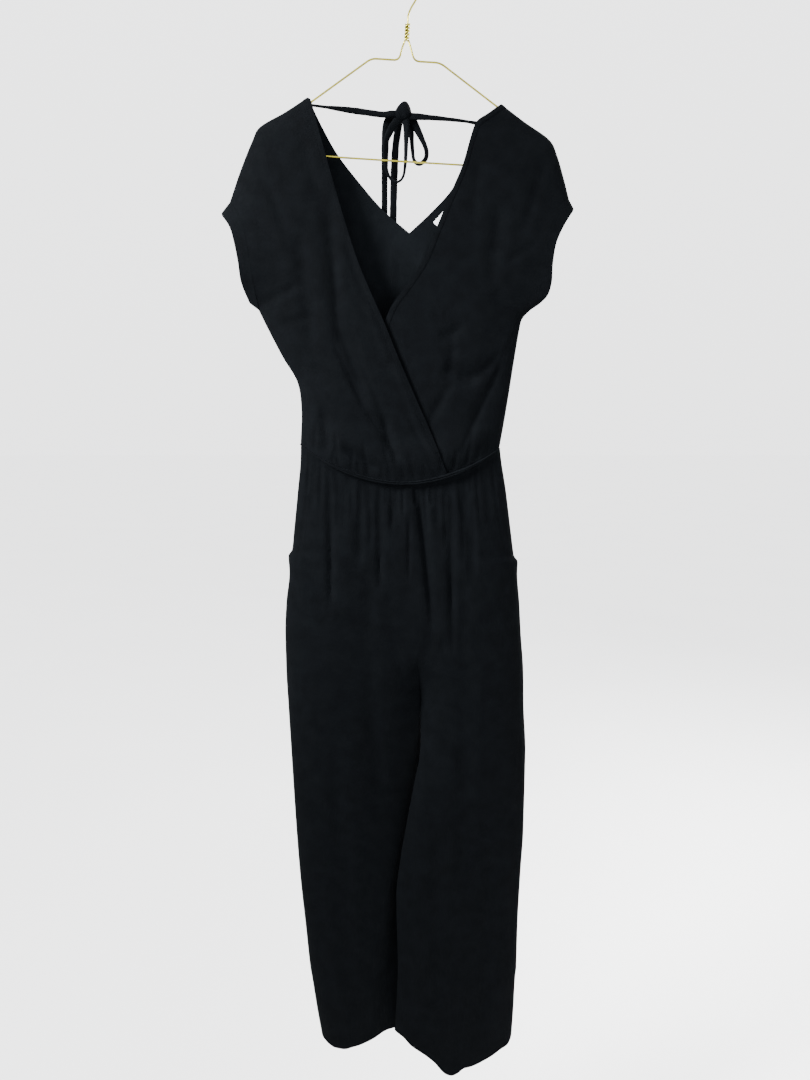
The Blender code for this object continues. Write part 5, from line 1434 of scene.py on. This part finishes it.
def add_floor():
    far = FLOOR_REACH
    mesh = bpy.data.meshes.new("floor")
    mesh.from_pydata([(x, y, FLOOR_Z) for x, y in ((-far, -far), (far, -far), (far, far), (-far, far))],
                     [], [(0, 1, 2, 3)])
    mesh.materials.append(floor_finish())
    add_object("floor", mesh)


def add_sky():
    """A pale sky, a little brighter overhead than at the horizon."""
    world = bpy.data.worlds.new("studio")
    world.use_nodes = True
    nodes = world.node_tree.nodes
    links = world.node_tree.links
    split = nodes.new("ShaderNodeSeparateXYZ")
    links.new(nodes.new("ShaderNodeTexCoord").outputs["Generated"], split.inputs[0])
    sky = nodes.new("ShaderNodeMapRange")
    sky.inputs["To Min"].default_value = HORIZON_LIGHT
    sky.inputs["To Max"].default_value = ZENITH_LIGHT
    links.new(split.outputs["Z"], sky.inputs["Value"])
    nodes["Background"].inputs["Color"].default_value = (*WORLD_COLOUR, 1.0)
    links.new(sky.outputs["Result"], nodes["Background"].inputs["Strength"])
    bpy.context.scene.world = world


def add_lamps():
    for lamp in LAMPS:
        data = bpy.data.lights.new(lamp.name, "AREA")
        data.size = lamp.size
        data.energy = lamp.watts
        data.spread = math.radians(lamp.spread)
        light = add_object(lamp.name, data)
        light.location = lamp.place
        light.rotation_euler = (Vector(lamp.target) - Vector(lamp.place)).to_track_quat("-Z", "Y").to_euler()


def studio():
    add_floor()
    add_sky()
    add_lamps()


# ---------------------------------------------------------------- garment
# The cut of each panel as far as it shows: width, length and flat area, in metres.
Cut = namedtuple("Cut", "width length area")


def declare(node):
    """Hide the solid that a panel stands for."""
    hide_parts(node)


def garment():
    """Every panel with its bindings, bands, bags and stitches."""
    fronts = {}
    panels = {}
    extras = {}
    lift = BINDING_OUT + BINDING_THICKNESS / 2 + STITCH_LIFT
    wide = BINDING_STEPS + 1
    for side in SIDES:
        fronts[side], panels[f"bodice_front_{side}"] = front_panel(side)
        bound = fronts[side][:-BINDING_SHORT]
        sheet, binding = neck_binding(f"cloth_neck_binding_{side}", [(bound, side == "left")], weld_tip=False)
        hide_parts(f"neck_binding_{side}")
        places = np.arange(len(bound)) * wide + NECK_STITCHES
        extras[f"bodice_front_{side}"] = [
            binding, stitch_sheet(f"stitching_neck_{side}", sheet, places, lift)]
    backs, panels["bodice_back"] = back_panel()
    neck_rows = CUFF_ROWS + 1
    grids = [(backs[side][:neck_rows], side == "right") for side in SIDES]
    sheet, binding = neck_binding("cloth_neck_binding_back", grids, weld_tip=True)
    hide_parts("neck_binding_back")
    extras["bodice_back"] = [binding]
    for half, side in enumerate(SIDES):
        places = (half * neck_rows + np.arange(CUFF_ROWS)) * wide + NECK_STITCHES
        extras["bodice_back"].append(stitch_sheet(f"stitching_neck_back_{side}", sheet, places, lift))
    extras["bodice_back"].append(label())
    for side in SIDES:
        sheet, band = cuff(side, fronts[side], backs[side])
        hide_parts(f"cuff_{side}")
        places = np.arange(0, len(sheet.points), len(CUFF_SHARES)) + CUFF_STITCHES
        stitches = stitch_sheet(f"stitching_cuff_{side}", sheet, places, CLOTH / 2 + STITCH_LIFT)
        extras[f"bodice_front_{side}"] += [band, stitches]
        for face in OUTWARD:
            panels[f"trouser_{face}_{side}"] = trouser_panel(side, face)
            extras[f"trouser_{face}_{side}"] = []
        extras[f"trouser_front_{side}"] += [pocket_bag(side), pocket_stitching(side)]
    band = waist_band()
    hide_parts("waist_band")
    extras["trouser_front_right"].append(band)
    for node, piece in panels.items():
        declare(node)


CREPE = crepe("black_crepe", (0.0008, 0.0010, 0.0013), (0.0012, 0.0015, 0.0019), 0.002)
# A lighter copy of the same crepe: painted light that lifts the shade on the back's inner face inside the V.
# The pocket bags use it too.
LIGHTENED_CREPE = crepe("black_crepe_lightened_against_shade", (0.0015, 0.0019, 0.0024), (0.0021, 0.0026, 0.0032), 0.003)
LABEL = label_satin()
WIRE = gold_wire()
THREAD = thread_finish()

add_camera()
hanger()
back_tie()
garment()
studio()
